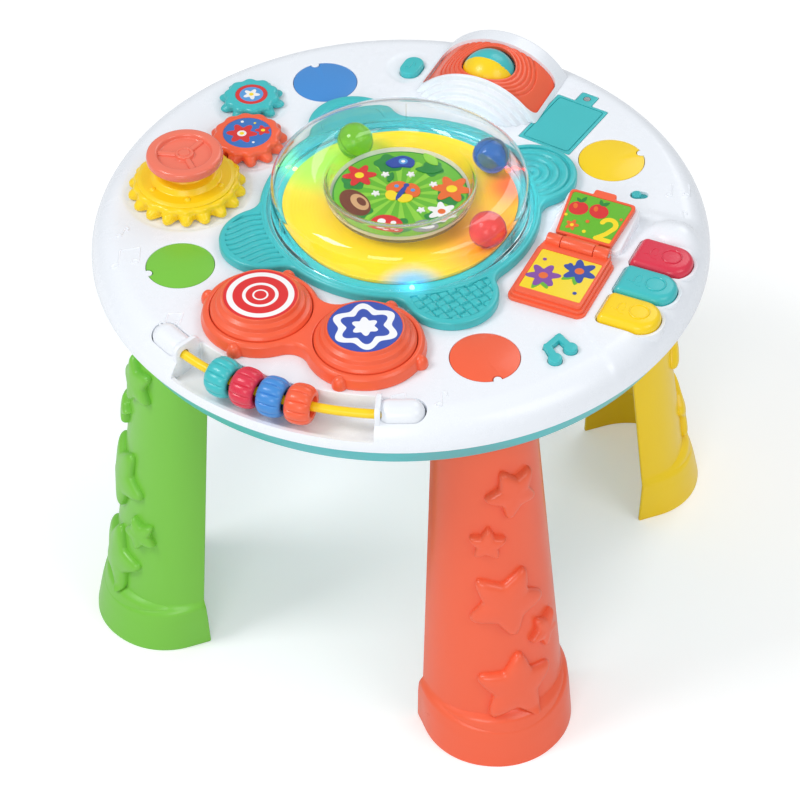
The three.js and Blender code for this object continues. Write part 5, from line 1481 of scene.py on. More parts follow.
def drum_housing_form():
    outline = peanut_outline()
    levels = soften([(0, 358.3), (0, 360.4, 1.2), (0.9, 363.4, 2.0), (1.5, 366.2, 2.2), (3.6, 368.3, 1.8),
                     (5.0, 368.3)], 5)
    body = lofted([at_height(inset(outline, back), z) for back, z in levels])
    nubs = []
    flow = round_bumps(None)
    for side in (-1, 1):
        bumps = grown("Drum bumps", flow, {"Count": 4, "Reach": 44.0 * MM, "Size": 5.8 * MM})
        bumps.points[:, 2] *= 1.4
        nubs.append(bumps.moved(side * DRUM_HALF, DRUM_Y, 360.0))
    keep = block(peanut_outline(4.5), 358.3, 369)
    body = welded(body, *[kept_inside(bumps, keep) for bumps in nubs])
    wells = [mouth(circle(38.4, 128, side * DRUM_HALF, DRUM_Y), 340, 1.2, 368.3) for side in (-1, 1)]
    return cut(body, *wells)


def drum_pad_form(side):
    x = side * DRUM_HALF
    profile = soften([
        (0, 366.5), (35.4, 366.5, 0.6), (35.4, 362.2, 0.3), (37.9, 362.2, 0.5), (37.9, 368.6, 1.4),
        (36.5, 370.9, 0.8), (33.6, 372.2, 1.0), (32.6, 375.6, 1.0), (29.6, 377.2, 1.0), (28.6, 380.3, 0.7),
        (27.7, 380.5, 0.3), (27.5, 379.9, 0.1), (0, 379.9)], 5)
    label = block(circle(27.3, 128), 379.7, 380.15, 0, 0.1).painted(1)
    return (spun(profile, 160) + label).moved(x, DRUM_Y)


# Gears

def gear_form(key, fade):
    """A gear whose hollows fade out upwards under its round, flat crown."""
    gear = GEARS[key]
    low, top, bend = TOP + 0.4, TOP + gear["height"], 3.6
    levels = [(low, 0.6, 1.0)]
    for z in np.linspace(low + 0.6, top - bend, 16):
        share = ease((z - low) / (top - low), fade, 0.5)
        levels.append((z, 1.8 * share, 1 - 0.85 * share))
    back, rest = levels[-1][1:]
    for i in range(1, 8):
        turn = math.pi / 2 * i / 7
        levels.append((top - bend * (1 - math.sin(turn)), back + bend * (1 - math.cos(turn)), rest))
    body = lofted([wave_ring(gear, gear_phases()[key], back, share, z) for z, back, share in levels])
    body = body.moved(gear["x"], gear["y"])
    return cut(body, block(circle(3.9, 24, gear["x"], gear["y"]), low - 3, low + 5))


def gear_label(key, prints):
    gear = GEARS[key]
    z = TOP + gear["height"] - LABEL_DEPTH
    base = block(circle(gear["label"] - 0.2, 96), z, z + 0.3, 0, 0.1).painted(1)
    return joined([base, *inked(z + 0.3, prints)]).moved(gear["x"], gear["y"])


def medium_gear_label():
    scarlet, paper, lemon = range(2, 5)
    prints = [(petals(10, 6, 0.25, -3.5, -2.5, 20), scarlet), (circle(3.7, 32, -3.5, -2.5), paper),
              (circle(1.9, 24, -3.5, -2.5), lemon), (petals(5.2, 5, 0.25, 10, 8, 60), scarlet),
              (circle(1.7, 20, 10, 8), lemon), (circle(1.3, 18, -10, 11), paper),
              (circle(1.1, 18, 10, -9), paper), (circle(1.0, 18, 0, 13.5), lemon)]
    return gear_label("medium", prints)


def small_gear_label():
    sky, paper, lemon = range(2, 5)
    prints = [(circle(9.6, 64), sky), (petals(5.4, 5, 0.3, 0, 0, 18), paper), (circle(1.9, 24), lemon)]
    return gear_label("small", prints)


def recessed(form, key):
    gear = GEARS[key]
    z = TOP + gear["height"]
    return cut(form, mouth(circle(gear["label"], 96, gear["x"], gear["y"]), z - LABEL_DEPTH, 0.3, z))


def cone_form():
    """Stepped cone on the large gear with bumps round it and a stub for the wheel."""
    profile = soften([
        (0, 366), (38, 366), (38, 371.2, 1.2), (35.2, 372.6, 1.6), (27.4, 373.2, 1.6), (24.6, 377.4, 2.0),
        (19.5, 378.8, 1.0), (16.4, 383.5, 1.4), (15, 387.3, 0.6), (6, 387.3, 0.4), (6, 390.3, 0.6),
        (0, 390.3)], 5)
    cone = spun(profile, 144)
    count = bpy.context.scene.table_sizes.cone_bumps
    bumps = grown("Cone bumps", round_bumps(None), {"Count": count, "Reach": 30.4 * MM, "Size": 2.9 * MM})
    return welded(cone, bumps.moved(0, 0, 371.9)).moved(GEARS["large"]["x"], GEARS["large"]["y"])


def wheel_form():
    """Steering wheel: dished rim, hub and three spokes."""
    base = 387.6
    profile = soften([
        (0, base + 3.3), (6.3, base + 3.3), (6.3, base), (15, base, 0.4), (15, base + 1.4, 0.4),
        (20.6, base + 1.6, 2.0), (24, base + 0.2, 3.4), (29.8, base + 0.3, 3.9), (29.8, base + 8.6, 4.1),
        (21.4, base + 8.6, 4.1), (20.4, base + 4.7, 1.6), (7.6, base + 4.5, 0.8), (7.0, base + 7.4, 0.9),
        (5.2, base + 7.4, 0.4), (4.9, base + 6.8, 0.3), (4.4, base + 6.8, 0.3), (4.1, base + 7.5, 0.4),
        (0, base + 7.7)], 7)
    rim = spun(profile, 144)
    spokes = []
    for k in range(3):
        shape = rounded_box(17.5, 5.0, 1.6, 5, 14.6, 0)
        spokes.append(block(shape, base + 4.0, base + 6.6, 0, 1.7).turned(78 + 120 * k))
    return welded(rim, *spokes).moved(GEARS["large"]["x"], GEARS["large"]["y"])


# Book

def bar_x(radius, x0, x1, y, z, count=48, edge=0.4):
    """A round bar along X with softened ends."""
    rings = []
    for x, r in ((x0, radius - edge), (x0 + edge * 0.3, radius - edge * 0.3), (x0 + edge, radius),
                 (x1 - edge, radius), (x1 - edge * 0.3, radius - edge * 0.3), (x1, radius - edge)):
        ring = circle(r, count)
        rings.append(np.column_stack([np.full(count, x), y + ring[:, 0], z + ring[:, 1]]))
    return lofted(rings)


def book_base_form():
    low = BOOK_FOOT
    layers = []
    for k in range(3):
        back = 2.0 * k
        shape = rounded_box(62 - 2 * back, 67.5 - back, 6 - back * 0.7, 8, BOOK_X, (-61 + back + HINGE_Y) / 2)
        start, foot = (low, 0.2) if k == 0 else (low + 0.5, 0)
        layers.append(block(shape, start, low + 2.8 * (k + 1), foot, 0.7))
    for side in (-1, 1):
        near, far = sorted((BOOK_X + side * 13.5, BOOK_X + side * 25))
        layers.append(bar_x(5.4, near, far, HINGE_Y, HINGE_Z))
        layers.append(block(rounded_box(far - near, 10.8, 0.5, 3, (near + far) / 2, HINGE_Y), low, low + 4.5))
    tools = [bar_x(5.9, BOOK_X - 13.5, BOOK_X + 13.5, HINGE_Y, HINGE_Z, edge=0.01),
             bar_x(2.1, BOOK_X - 32, BOOK_X + 32, HINGE_Y, HINGE_Z, 24, 0.01),
             block(rounded_box(49, 47, 1.5, 5, BOOK_X, PAGE_Y), low + PAGE_DEPTH, low + 12)]
    return cut(welded(layers[0], *layers[1:]), *tools)


def book_base_label():
    z = BOOK_FOOT + PAGE_DEPTH
    violet, navy, meadow, orange = range(2, 6)
    base = block(rounded_box(48.6, 46.6, 1.4, 5, BOOK_X, PAGE_Y), z, z + 0.3, 0, 0.1).painted(1)
    prints = []
    for dx, dy, turn, petal in ((-12, -8, 20, violet), (11, 7, -10, navy)):
        x, y = BOOK_X + dx, PAGE_Y + dy
        prints += [(leaf(14, 6, x, y, 240 + turn), meadow), (leaf(13, 6, x, y, 290 + turn), meadow)]
        prints += flower(x, y + 3, 10.5, petal, orange, turn)
    for radius, dx, y, paint in ((1.8, 2, -14, navy), (1.4, -4, -42, violet), (1.6, 17, -43, navy),
                                 (1.5, -18, -16, violet)):
        prints.append((circle(radius, 20, BOOK_X + dx, y), paint))
    return joined([base, *inked(z + 0.3, prints)])


def cover_place():
    return Matrix.Translation((BOOK_X, HINGE_Y, HINGE_Z)) @ Matrix.Rotation(math.radians(COVER_TILT), 4, "X")


def book_cover_form():
    high, low = -0.3, -4.9
    corners = [(-22.5, 9, 1.5), (22.5, 9, 1.5), (27, 53, 4), (9, 53, 1), (9, 58.0, 2.4), (-9, 58.0, 2.4),
               (-9, 53, 1), (-27, 53, 4)]
    plate = block(soften_loop(corners), low, high, 0.4, 0.8)
    arm = block(rounded_box(26, 12, 0.5, 3, 0, 5), low + 0.01, high - 1.0, 0, 0.3)
    knuckle = bar_x(5.4, -13, 13, 0, 0)
    recess = block(cover_panel(), high - 0.6, high + 2)
    hole = bar_x(2.1, -15, 15, 0, 0, 24, 0.01)
    return cut(welded(plate, arm, knuckle), recess, hole)


def cover_panel(grow=0.0):
    """Outline of the picture panel, which nearly fills the cover."""
    low, high, near, far = 20.6 + grow, 24.6 + grow, 11 - grow, 50.8 + grow
    corners = [(-low, near, 1.6), (low, near, 1.6), (high, far, 3), (-high, far, 3)]
    return soften_loop(corners)


def numeral_two(x, y, size):
    """The number 2 as a bent line and a straight foot."""
    arc = [(0.26 * math.cos(a), 0.24 + 0.25 * math.sin(a)) for a in np.radians(np.linspace(170, -30, 18))]
    bow = stroke(np.array(arc + [(0.05, -0.18), (-0.2, -0.44)]) * size, size * 0.095) + (x, y)
    foot = stroke(np.array([(-0.23, -0.46), (0, -0.46), (0.3, -0.46)]) * size, size * 0.095) + (x, y)
    return [bow, foot]


def book_cover_label():
    z = -0.9
    lemon, scarlet, forest, orange = range(2, 6)
    base = block(cover_panel(-0.3), z, z + 0.3, 0, 0.1).painted(1)
    prints = [(outline, lemon) for outline in numeral_two(13.5, 23, 21)]
    for x, y, turn in ((-14.5, 36, 12), (1.5, 38, -15)):
        prints += [(petals(7.2, 2, 0.08, x, y, turn), scarlet), (leaf(7, 3.2, x, y + 5.8, 60 + turn), forest),
                   (leaf(6, 2.8, x, y + 5.8, 130 + turn), forest),
                   (oval(1.7, 2.6, x - 3, y + 1.6, 20), orange)]
    prints.append((petals(4.2, 5, 0.3, -13, 19, 10), orange))
    for radius, x, y, paint in ((1.5, -13, 19, lemon), (1.5, -2, 16, lemon), (1.5, -3, 26, orange),
                                (1.3, -21, 27, lemon), (1.3, 20.5, 36, orange)):
        prints.append((circle(radius, 20, x, y), paint))
    return joined([base, *inked(z + 0.3, prints)])


# Keys, buttons and lid

def key_form(y):
    """A pillow-shaped key with a raised ring and a curled line."""
    body = block(key_outline(y), 353, 364.6, 0.5, 5.6, 0.7, 9)
    ring = lofted([at_height(circle(r, 64, 212.5, y), z) for r, z in
                   ((6.6, 364.2), (6.8, 365.5), (7.1, 365.75), (7.6, 365.75), (7.9, 365.5), (8.1, 364.2))],
                  closed=True)
    curl = []
    for t in np.linspace(-0.6, 4.6, 40):
        across, along = 3.4 * math.cos(t) * (1 - t / 11), 6.4 * math.sin(t) * (1 - t / 9)
        curl.append((199.5 - across, y - 1 + along, 365.0 - t * 0.03))
    wave = [(x, y - 5.5 + 1.8 * math.sin((x - 188) / 9 * math.pi), 364.7) for x in np.linspace(191, 203, 20)]
    mark = bars_along("Key marks", [curl, wave], 0.6, 8)
    return body + ring + mark


def music_form():
    cap = block(pill(8.2, 8, 0, *MUSIC_SPOT), 352.3, 362.5, 0, 1.6, 0.0, 6)
    foot = block(pill(10.2, 8, 0, *MUSIC_SPOT), 352.3, 354.7, 0, 0.3)
    head = [(-70.2 + 1.7 * math.cos(t), 165.6 + 1.4 * math.sin(t), 362.5) for t in np.linspace(0, TAU, 25)]
    stem = [(-68.5, 165.6, 362.5), (-68.5, 174.6, 362.5)]
    flag = [(-68.5, 174.6, 362.5), (-66.4, 172.8, 362.5), (-65.6, 170.2, 362.5)]
    return welded(cap, foot) + bars_along("Button mark", [head, stem, flag], 0.5, 8)


def switch_form():
    place = Matrix.Translation((*SWITCH_SPOT, 0)) @ Matrix.Rotation(math.radians(SWITCH_TURN), 4, "Z")
    plate = block(rounded_box(18.8, 37.6, 1.5, 4), 351.7, 354.7, 0.2, 0.3)
    knob = block(circle(3.7, 48, 0, -2.1), 353.5, 359.5, 0, 0.8)
    grips = [block(rounded_box(5.4, 0.9, 0.4, 3, 0, -2.1 + k * 1.9), 359.2, 359.9, 0, 0.25)
             for k in (-1, 0, 1)]
    return welded(plate, knob, *grips).placed(place)


def note_form():
    forms = note_outline(0, 353, 362)
    feet = note_outline(1.3, 351.7, 354.7)
    body = welded(forms[0], *forms[1:])
    return welded(body, *feet)


def lid_form():
    tab = bay_spot(0, 38.5)
    body = block(lid_outline(), 355.3, 357.9, 0.2, 0.6)
    line = [turned(rounded_box(w, l, r, 8), BAY["turn"]) + (BAY["x"], BAY["y"])
            for w, l, r in ((41.4, 59.4, 3.0), (39.6, 57.6, 2.1))]
    groove = lofted([at_height(line[0], 357.1), at_height(line[0], 359), at_height(line[1], 359),
                     at_height(line[1], 357.1)], closed=True)
    tools = [block(circle(1.8, 24, *tab), 354, 360), block(circle(3.2, 40, *tab), 356.3, 360), groove]
    return cut(body, *tools)


# Roller

def about_y(profile, count=240):
    """Turns a profile of radius and Y about the arch's own axis."""
    return spun(profile, count).placed(Matrix.Rotation(math.radians(-90), 4, "X")).moved(0, 0, ARCH_Z)


def roller_frame_form():
    outer = [(0, 130)]
    for k in range(3):
        radius, near = 49.3 + 4.3 * k, 130 + 4.5 * k
        outer += [(radius - 0.6, near, 2.4), (radius, near + 4.4, 0.5)]
    outer += [(62.1, 143.6, 2.0), (62.5, 147), (62.5, 213, 2.4), (0, 213)]
    inner = [(0, 133), (45.5, 133), (49.4, 140.8), (56, 145.4), (56, 210.4), (0, 210.4)]
    below = block(rounded_box(160, 110, 1, 2, 0, 171.5), 240, TOP + 0.3)
    window = block(rounded_box(100.8, 51.6, 8.4, 8, 0, WINDOW_Y), 340, 400)
    return cut(about_y(soften(outer, 5)), about_y(inner), below, window)


def insert_form():
    hole_radius, count = 21.8, 288
    unit = circle(1, count)
    hole = unit * hole_radius + (0, ROLLER_Y)
    half = (49.9, 25.5)
    edge = unit * np.minimum(half[0] / np.maximum(np.abs(unit[:, :1]), 1e-6),
                             half[1] / np.maximum(np.abs(unit[:, 1:]), 1e-6)) + (0, WINDOW_Y)
    rings = []
    for share in np.linspace(0, 1, 90):
        spots = hole + (edge - hole) * share
        reach = np.hypot(spots[:, 0], spots[:, 1] - ROLLER_Y)
        hollow = np.abs(np.cos(np.pi * (reach - hole_radius - 2.4) / 3.5)) ** 7
        hollow = hollow * (1 - ease(reach, hole_radius + 18.4, 1)) + (0.5 if share == 0 else 0)
        z = ARCH_Z + np.sqrt((60 - hollow) ** 2 - spots[:, 0] ** 2)
        rings.append(np.column_stack([spots, z]))
    for share in (1, 0.5, 0):
        spots = hole + (edge - hole) * share
        rings.append(np.column_stack([spots, ARCH_Z + np.sqrt(57.2 ** 2 - spots[:, 0] ** 2)]))
    keep = block(rounded_box(99.8, 51, 7.9, 8, 0, WINDOW_Y), TOP + 0.35, 400)
    return kept_inside(lofted(rings, closed=True), keep)


def roller_ball_form():
    """Two-coloured ball on its axle; its seam runs along the axle."""
    ball = round_ball(ROLLER_BALL, 0.3).placed(Matrix.Rotation(math.radians(-76), 4, "X"))
    ball = cut(ball, bar_x(2.35, -40, 40, 0, 0, 32, 0.01))
    lean = np.array([0, math.cos(math.radians(14)), math.sin(math.radians(14))])
    middles = [np.mean(ball.points[list(face)], axis=0) for face in ball.faces]
    ball.paint = [int(middle @ lean > 0) for middle in middles]
    return ball.moved(0, ROLLER_Y, ROLLER_Z)


# Bead rail

def rail_path(first, last, steps=40):
    return [(*polar(RAIL_RADIUS, a), RAIL_Z) for a in np.linspace(first, last, steps + 1)]


def rail_block_form(side):
    """A half-sunk capsule with a domed outer end and an upright collar at its inner end."""
    turn = math.degrees(1 / RAIL_RADIUS)
    inner_end = 249.92 if side < 0 else 290.08
    middle, collar = inner_end + side * 18.4 * turn, inner_end + side * 2.1 * turn
    capsule = block(bent(rounded_box(20.4, 35.6, 9.8, 12, -3.9), middle), 338.3, 363.0, 0.5, 8.6, 0, 10)
    rings = []
    for t, back in ((2.1, 1.0), (1.8, 0.3), (1.1, 0), (-1.1, 0), (-1.8, 0.3), (-2.1, 1.0)):
        ring = inset(rounded_box(23.6, 27.2, 5.5, 10, RAIL_RADIUS - 3.9, 351.8), back)
        rings.append(np.column_stack([ring[:, 0], np.full(len(ring), t), ring[:, 1]]))
    plate = lofted(rings).placed(Matrix.Rotation(math.radians(collar), 4, "Z"))
    angles = (246.1, 252) if side < 0 else (288, 293.9)
    return cut(welded(capsule, plate), tube(rail_path(*angles, 8), 4.3, 24))


def bead_form(turn):
    ribs = bpy.context.scene.table_sizes.bead_ribs
    half, count = 9.7, ribs * 14
    angles = np.arange(count) * TAU / count
    hollow = 1 - np.abs(np.cos(ribs * angles / 2)) ** 0.42
    rings = []
    for t in np.concatenate([[-1, -0.985], np.linspace(-0.95, 0.95, 27), [0.985, 1]]):
        swell = 10.2 + 5.0 * (1 - abs(t) ** 2.6) ** 0.62
        radius = swell - 1.5 * (1 - abs(t) ** 4) * hollow
        outline = np.column_stack([radius * np.cos(angles), radius * np.sin(angles)])
        rings.append(at_height(outline, half * t))
    bore = ((8.8, 1.0), (8.0, 0.96), (7.7, 0.6), (4.4, 0.58), (4.2, 0.54))
    for r, t in bore + tuple((r, -t) for r, t in reversed(bore)):
        rings.append(at_height(circle(r, count), half * t))
    spot = polar(RAIL_RADIUS, turn)
    place = Matrix.Translation((*spot, RAIL_Z)) @ Matrix.Rotation(math.radians(turn), 4, "Z")
    return lofted(rings, closed=True).placed(place @ Matrix.Rotation(math.radians(90), 4, "X"))


BEADS = {"teal": 259.85, "red": 265.3, "blue": 270.75, "coral": 276.2}
LEG_PAINTS = {"rear_right": "yellow", "rear_left": "blue", "front_left": "green", "front_right": "coral"}


# Operators

class TablePiece:
    """What every operator of the table shares."""

    bl_options = {"REGISTER", "UNDO"}


class TABLE_OT_shell(TablePiece, bpy.types.Operator):
    """Build the white top shell with its openings, ramp and raised notes"""

    bl_idname = "table.shell"
    bl_label = "Top shell"

    def execute(self, context):
        piece("shell", top_shell(), ["white"], "table", "top_shell", 30)
        return {"FINISHED"}


class TABLE_OT_casing(TablePiece, bpy.types.Operator):
    """Build the teal bottom casing with its sockets and slots"""

    bl_idname = "table.casing"
    bl_label = "Bottom casing"

    def execute(self, context):
        piece("casing", base_casing(), ["teal"], "table", "base_tray")
        return {"FINISHED"}


class TABLE_OT_legs(TablePiece, bpy.types.Operator):
    """Build the four legs with their raised stars"""

    bl_idname = "table.legs"
    bl_label = "Legs"

    def execute(self, context):
        form = leg_form()
        for key, turn in LEG_TURNS.items():
            paint = LEG_PAINTS[key]
            piece("leg_" + key + "_looks", form.turned(turn), [paint], "table", "leg_" + key,
                  40)
        return {"FINISHED"}


class TABLE_OT_centre(TablePiece, bpy.types.Operator):
    """Build the lobed ring, the turntable, the dome, its picture, the lights and the balls"""

    bl_idname = "table.centre"
    bl_label = "Ring and dome"

    def execute(self, context):
        piece("ring", centre_ring(), ["ring"], "table", "center_ring", 34)
        piece("turning_floor", turntable_form(), ["floor"], "turntable", "turntable")
        piece("clear_dome", clear_dome(), ["clear", "well_highlight"], "table", "dome", 44)
        inks = ["meadow", "leaf", "forest", "brown", "sand", "scarlet", "orange", "grey", "paper", "lemon",
                "sky", "navy"]
        piece("picture", picture_form(), inks, "table", "picture_disc")
        for key, turn in LIGHTS.items():
            piece("lamp_" + key, light_form(turn), ["light_" + key], "table", "light_" + key)
        for key, (reach, turn) in BALLS.items():
            x, y = polar(reach, turn)
            tilt = Matrix.Rotation(math.radians(35 + turn), 4, "X")
            tilt = tilt @ Matrix.Rotation(math.radians(turn), 4, "Y")
            form = round_ball(14.3).placed(tilt).moved(x, y, 378.6)
            piece("ball_" + key + "_looks", form, ["ball_" + key], "ball_" + key, "ball_" + key)
        return {"FINISHED"}


class TABLE_OT_drums(TablePiece, bpy.types.Operator):
    """Build the drum housing and its two pads with their ring patterns"""

    bl_idname = "table.drums"
    bl_label = "Drums"

    def execute(self, context):
        piece("drum_case", drum_housing_form(), ["coral"], "table", "drum_housing")
        for name, side, label in (("left", -1, "rings_label"), ("right", 1, "wave_label")):
            piece("drum_" + name, drum_pad_form(side), ["coral", label], "drum_pad_" + name,
                  "drum_pad_" + name)
        return {"FINISHED"}


class TABLE_OT_gears(TablePiece, bpy.types.Operator):
    """Build the three wavy gears, the cone and the steering wheel"""

    bl_idname = "table.gears"
    bl_label = "Gears and wheel"

    def execute(self, context):
        large = welded(gear_form("large", 0.5), cone_form())
        piece("gear_yellow", large, ["yellow"], "gear_large", "gear_large")
        medium = recessed(gear_form("medium", 0.5), "medium") + medium_gear_label()
        piece("gear_coral", medium, ["coral", "azure", "scarlet", "paper", "lemon"], "gear_medium",
              "gear_medium")
        small = recessed(gear_form("small", 0.42), "small") + small_gear_label()
        piece("gear_teal", small, ["teal", "scarlet", "sky", "paper", "lemon"], "gear_small",
              "gear_small")
        piece("wheel", wheel_form(), ["wheel"], "gear_large", "steering_wheel", 34)
        return {"FINISHED"}


class TABLE_OT_book(TablePiece, bpy.types.Operator):
    """Build the layered book base and its hinged cover with their stickers"""

    bl_idname = "table.book"
    bl_label = "Flip book"

    def execute(self, context):
        piece("book_pages", book_base_form() + book_base_label(),
              ["coral", "lemon", "violet", "navy", "meadow", "orange"], "table", "book_base")
        cover = (book_cover_form() + book_cover_label()).placed(cover_place())
        piece("book_lid", cover, ["coral", "meadow", "lemon", "scarlet", "forest", "orange"], "book_cover",
              "book_cover")
        return {"FINISHED"}


class TABLE_OT_keys(TablePiece, bpy.types.Operator):
    """Build the three keys with their embossed marks"""

    bl_idname = "table.keys"
    bl_label = "Keys"

    def execute(self, context):
        for key, y in KEY_YS.items():
            piece("key_" + key + "_looks", key_form(y), [key], "key_" + key, "key_" + key)
        return {"FINISHED"}


class TABLE_OT_buttons(TablePiece, bpy.types.Operator):
    """Build the music button, the note button, the switch and the battery lid"""

    bl_idname = "table.buttons"
    bl_label = "Buttons and lid"

    def execute(self, context):
        piece("music", music_form(), ["teal"], "music_button", "music_button")
        piece("note", note_form(), ["teal"], "note_button", "note_button")
        piece("switch", switch_form(), ["teal"], "switch_knob", "switch_knob")
        piece("lid", lid_form(), ["teal"], "table", "battery_lid")
        return {"FINISHED"}


class TABLE_OT_roller(TablePiece, bpy.types.Operator):
    """Build the roller's stepped frame, its grooved insert and its two-coloured ball"""

    bl_idname = "table.roller"
    bl_label = "Roller"

    def execute(self, context):
        piece("roller_arch", roller_frame_form(), ["white"], "table", "roller_frame", 30)
        piece("roller_panel", insert_form(), ["coral"], "table", "roller_insert")
        piece("roller_globe", roller_ball_form(), ["yellow", "teal"], "roller_ball", "roller_ball")
        return {"FINISHED"}


class TABLE_OT_beads(TablePiece, bpy.types.Operator):
    """Build the bead rail, its two end blocks and the four ribbed beads"""

    bl_idname = "table.beads"
    bl_label = "Bead rail"

    def execute(self, context):
        rod = tube(rail_path(246.4, 293.6), 3.5, 32)
        piece("rail_rod", rod, ["yellow"], "table", "bead_rail")
        for name, side in (("left", -1), ("right", 1)):
            piece("rail_end_" + name, rail_block_form(side), ["white"], "table", "rail_block_" + name,
                  30)
        for key, turn in BEADS.items():
            piece("bead_" + key + "_looks", bead_form(turn), [key], "bead_" + key, "bead_" + key,
                  50)
        return {"FINISHED"}


INSIDE = {
    "steel": ["tray_screw_1", "tray_screw_2", "tray_screw_3", "tray_screw_4", "battery_screw",
              "gear_pin_large", "gear_pin_medium", "gear_pin_small", "book_hinge_pin", "roller_axle",
              "turntable_shaft", "turntable_motor"],
    "dark": ["speaker", "battery_box"],
    "board": ["circuit_board"],
    "navy": ["battery_cell_1", "battery_cell_2", "battery_cell_3"],
}


class TABLE_OT_inside(TablePiece, bpy.types.Operator):
    """Give the screws, pins, motor, board, speaker and cells their finishes"""

    bl_idname = "table.inside"
    bl_label = "Inner pieces"

    def execute(self, context):
        for paint, names in INSIDE.items():
            for name in names:
                for slot in NODES[name].material_slots:
                    slot.material = material(paint)
        return {"FINISHED"}


def floor_sheet():
    """Plain pale floor that the camera sees a little brighter than it is lit."""
    mesh = bpy.data.meshes.new("floor")
    mesh.from_pydata([(-9, -9, 0), (9, -9, 0), (9, 9, 0), (-9, 9, 0)], [], [(0, 1, 2, 3)])
    paint = Paint("Pale floor")
    cloud = paint.noise(2.0)
    paint.set(Base_Color=paint.mixed(cloud, (0.9, 0.9, 0.905), (0.91, 0.91, 0.912)), Roughness=0.9)
    bright = paint.tree.nodes.new("ShaderNodeEmission")
    bright.inputs["Strength"].default_value = 0.26
    total = paint.tree.nodes.new("ShaderNodeAddShader")
    chosen = paint.tree.nodes.new("ShaderNodeMixShader")
    paint.tree.links.new(paint.shader.outputs[0], total.inputs[0])
    paint.tree.links.new(bright.outputs[0], total.inputs[1])
    plug(paint.tree, chosen.inputs[0], paint.node("ShaderNodeLightPath", output="Is Camera Ray"))
    paint.tree.links.new(paint.shader.outputs[0], chosen.inputs[1])
    paint.tree.links.new(total.outputs[0], chosen.inputs[2])
    paint.tree.links.new(chosen.outputs[0], paint.output.inputs["Surface"])
    mesh.materials.append(paint.material)
    return bpy.data.objects.new("floor", mesh)


def studio_world():
    """Soft bluish light all round, and plain white where the camera looks past the floor."""
    world = bpy.data.worlds.new("Studio")
    world.use_nodes = True
    tree = world.node_tree
    tree.nodes.clear()
    path = tree.nodes.new("ShaderNodeLightPath")
    mixer = tree.nodes.new("ShaderNodeMixShader")
    output = tree.nodes.new("ShaderNodeOutputWorld")
    tree.links.new(path.outputs["Is Camera Ray"], mixer.inputs[0])
    for entry, colour, strength in ((1, (0.96, 0.98, 1.0), 0.46), (2, (1.0, 1.0, 1.0), 1.0)):
        light = tree.nodes.new("ShaderNodeBackground")
        light.inputs["Color"].default_value = (*colour, 1.0)
        light.inputs["Strength"].default_value = strength
        tree.links.new(light.outputs[0], mixer.inputs[entry])
    tree.links.new(mixer.outputs[0], output.inputs["Surface"])
    return world


def studio_lamp(name, spot, size, power):
    """A square lamp that points at the table."""
    data = bpy.data.lights.new(name, "AREA")
    data.energy, data.size = power, size
    lamp_object = bpy.data.objects.new(name, data)
    lamp_object.location = spot
    aim = Vector((0, 0, 0.3)) - Vector(spot)
    lamp_object.rotation_euler = aim.to_track_quat("-Z", "Y").to_euler()
    return lamp_object


def studio_camera():
    """The camera at the photograph's viewing angle."""
    back = Vector((0.3086, -0.6548, 0.6899)).normalized()
    target, distance = Vector((0, 0, 0.1565)), 2.211
    right = Vector((-back.y, back.x, 0)).normalized()
    up = back.cross(right)
    roll = math.radians(-0.78)
    side = right * math.cos(roll) + up * math.sin(roll)
    camera = bpy.data.cameras.new("camera")
    camera.lens, camera.sensor_width = 120.71, 36
    camera.shift_x, camera.shift_y = -0.00375, 0.000375
    camera.clip_start, camera.clip_end = 0.05, 60
    eye = bpy.data.objects.new("camera", camera)
    basis = Matrix((side, back.cross(side), back)).transposed()
    eye.matrix_world = Matrix.Translation(target + back * distance) @ basis.to_4x4()
    return eye


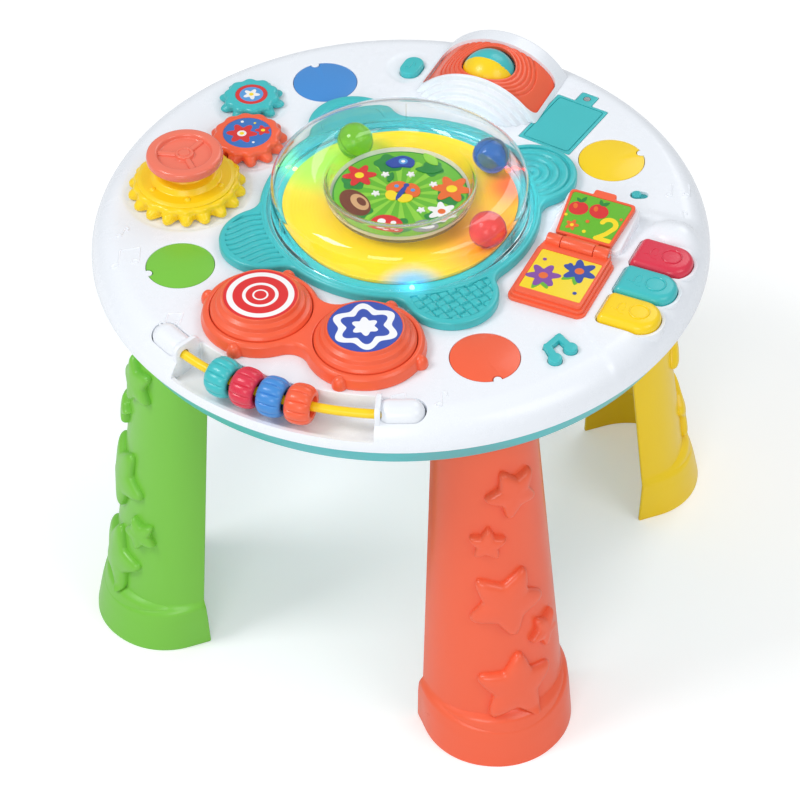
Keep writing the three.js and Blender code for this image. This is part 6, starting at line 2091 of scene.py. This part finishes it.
LAMPS = (("key", (-1.6, -1.3, 2.8), 1.1, 38.0), ("fill", (2.2, -0.6, 2.2), 1.4, 16.0),
         ("back", (0.4, 2.4, 2.4), 1.6, 17.0), ("front", (0.5, -2.4, 1.5), 1.2, 16.0))


class TABLE_OT_stage(TablePiece, bpy.types.Operator):
    """Set the floor, the lamps, the world and the camera"""

    bl_idname = "table.stage"
    bl_label = "Stage"

    def execute(self, context):
        scene = bpy.context.scene
        floor = floor_sheet()
        scene.collection.objects.link(floor)
        scene.world = studio_world()
        for lamp_values in LAMPS:
            scene.collection.objects.link(studio_lamp(*lamp_values))
        eye = studio_camera()
        scene.collection.objects.link(eye)
        scene.camera = eye
        scene.view_settings.view_transform = "Standard"
        return {"FINISHED"}


PIECES = (TABLE_OT_shell, TABLE_OT_casing, TABLE_OT_legs, TABLE_OT_centre, TABLE_OT_drums, TABLE_OT_gears,
          TABLE_OT_book, TABLE_OT_keys, TABLE_OT_buttons, TABLE_OT_roller, TABLE_OT_beads, TABLE_OT_inside,
          TABLE_OT_stage)


class TABLE_PT_panel(bpy.types.Panel):
    """Lists the table's pieces, colours and sizes"""

    bl_label = "Activity Table"
    bl_idname = "TABLE_PT_panel"
    bl_space_type = "VIEW_3D"
    bl_region_type = "UI"
    bl_category = "Activity Table"

    def draw(self, context):
        for group in (context.scene.table_looks, context.scene.table_sizes):
            for key in group.bl_rna.properties.keys():
                if key not in ("rna_type", "name"):
                    self.layout.prop(group, key)
        for operator in PIECES:
            self.layout.operator(operator.bl_idname)


CLASSES = (TableLooks, TableSizes, *PIECES, TABLE_PT_panel)


def register():
    for each in CLASSES:
        bpy.utils.register_class(each)
    bpy.types.Scene.table_looks = bpy.props.PointerProperty(type=TableLooks)
    bpy.types.Scene.table_sizes = bpy.props.PointerProperty(type=TableSizes)


def unregister():
    del bpy.types.Scene.table_looks, bpy.types.Scene.table_sizes
    for each in reversed(CLASSES):
        bpy.utils.unregister_class(each)


def main():
    register()
    for operator in PIECES:
        getattr(bpy.ops.table, operator.bl_idname.split(".")[1])()


if __name__ == "__main__":
    main()
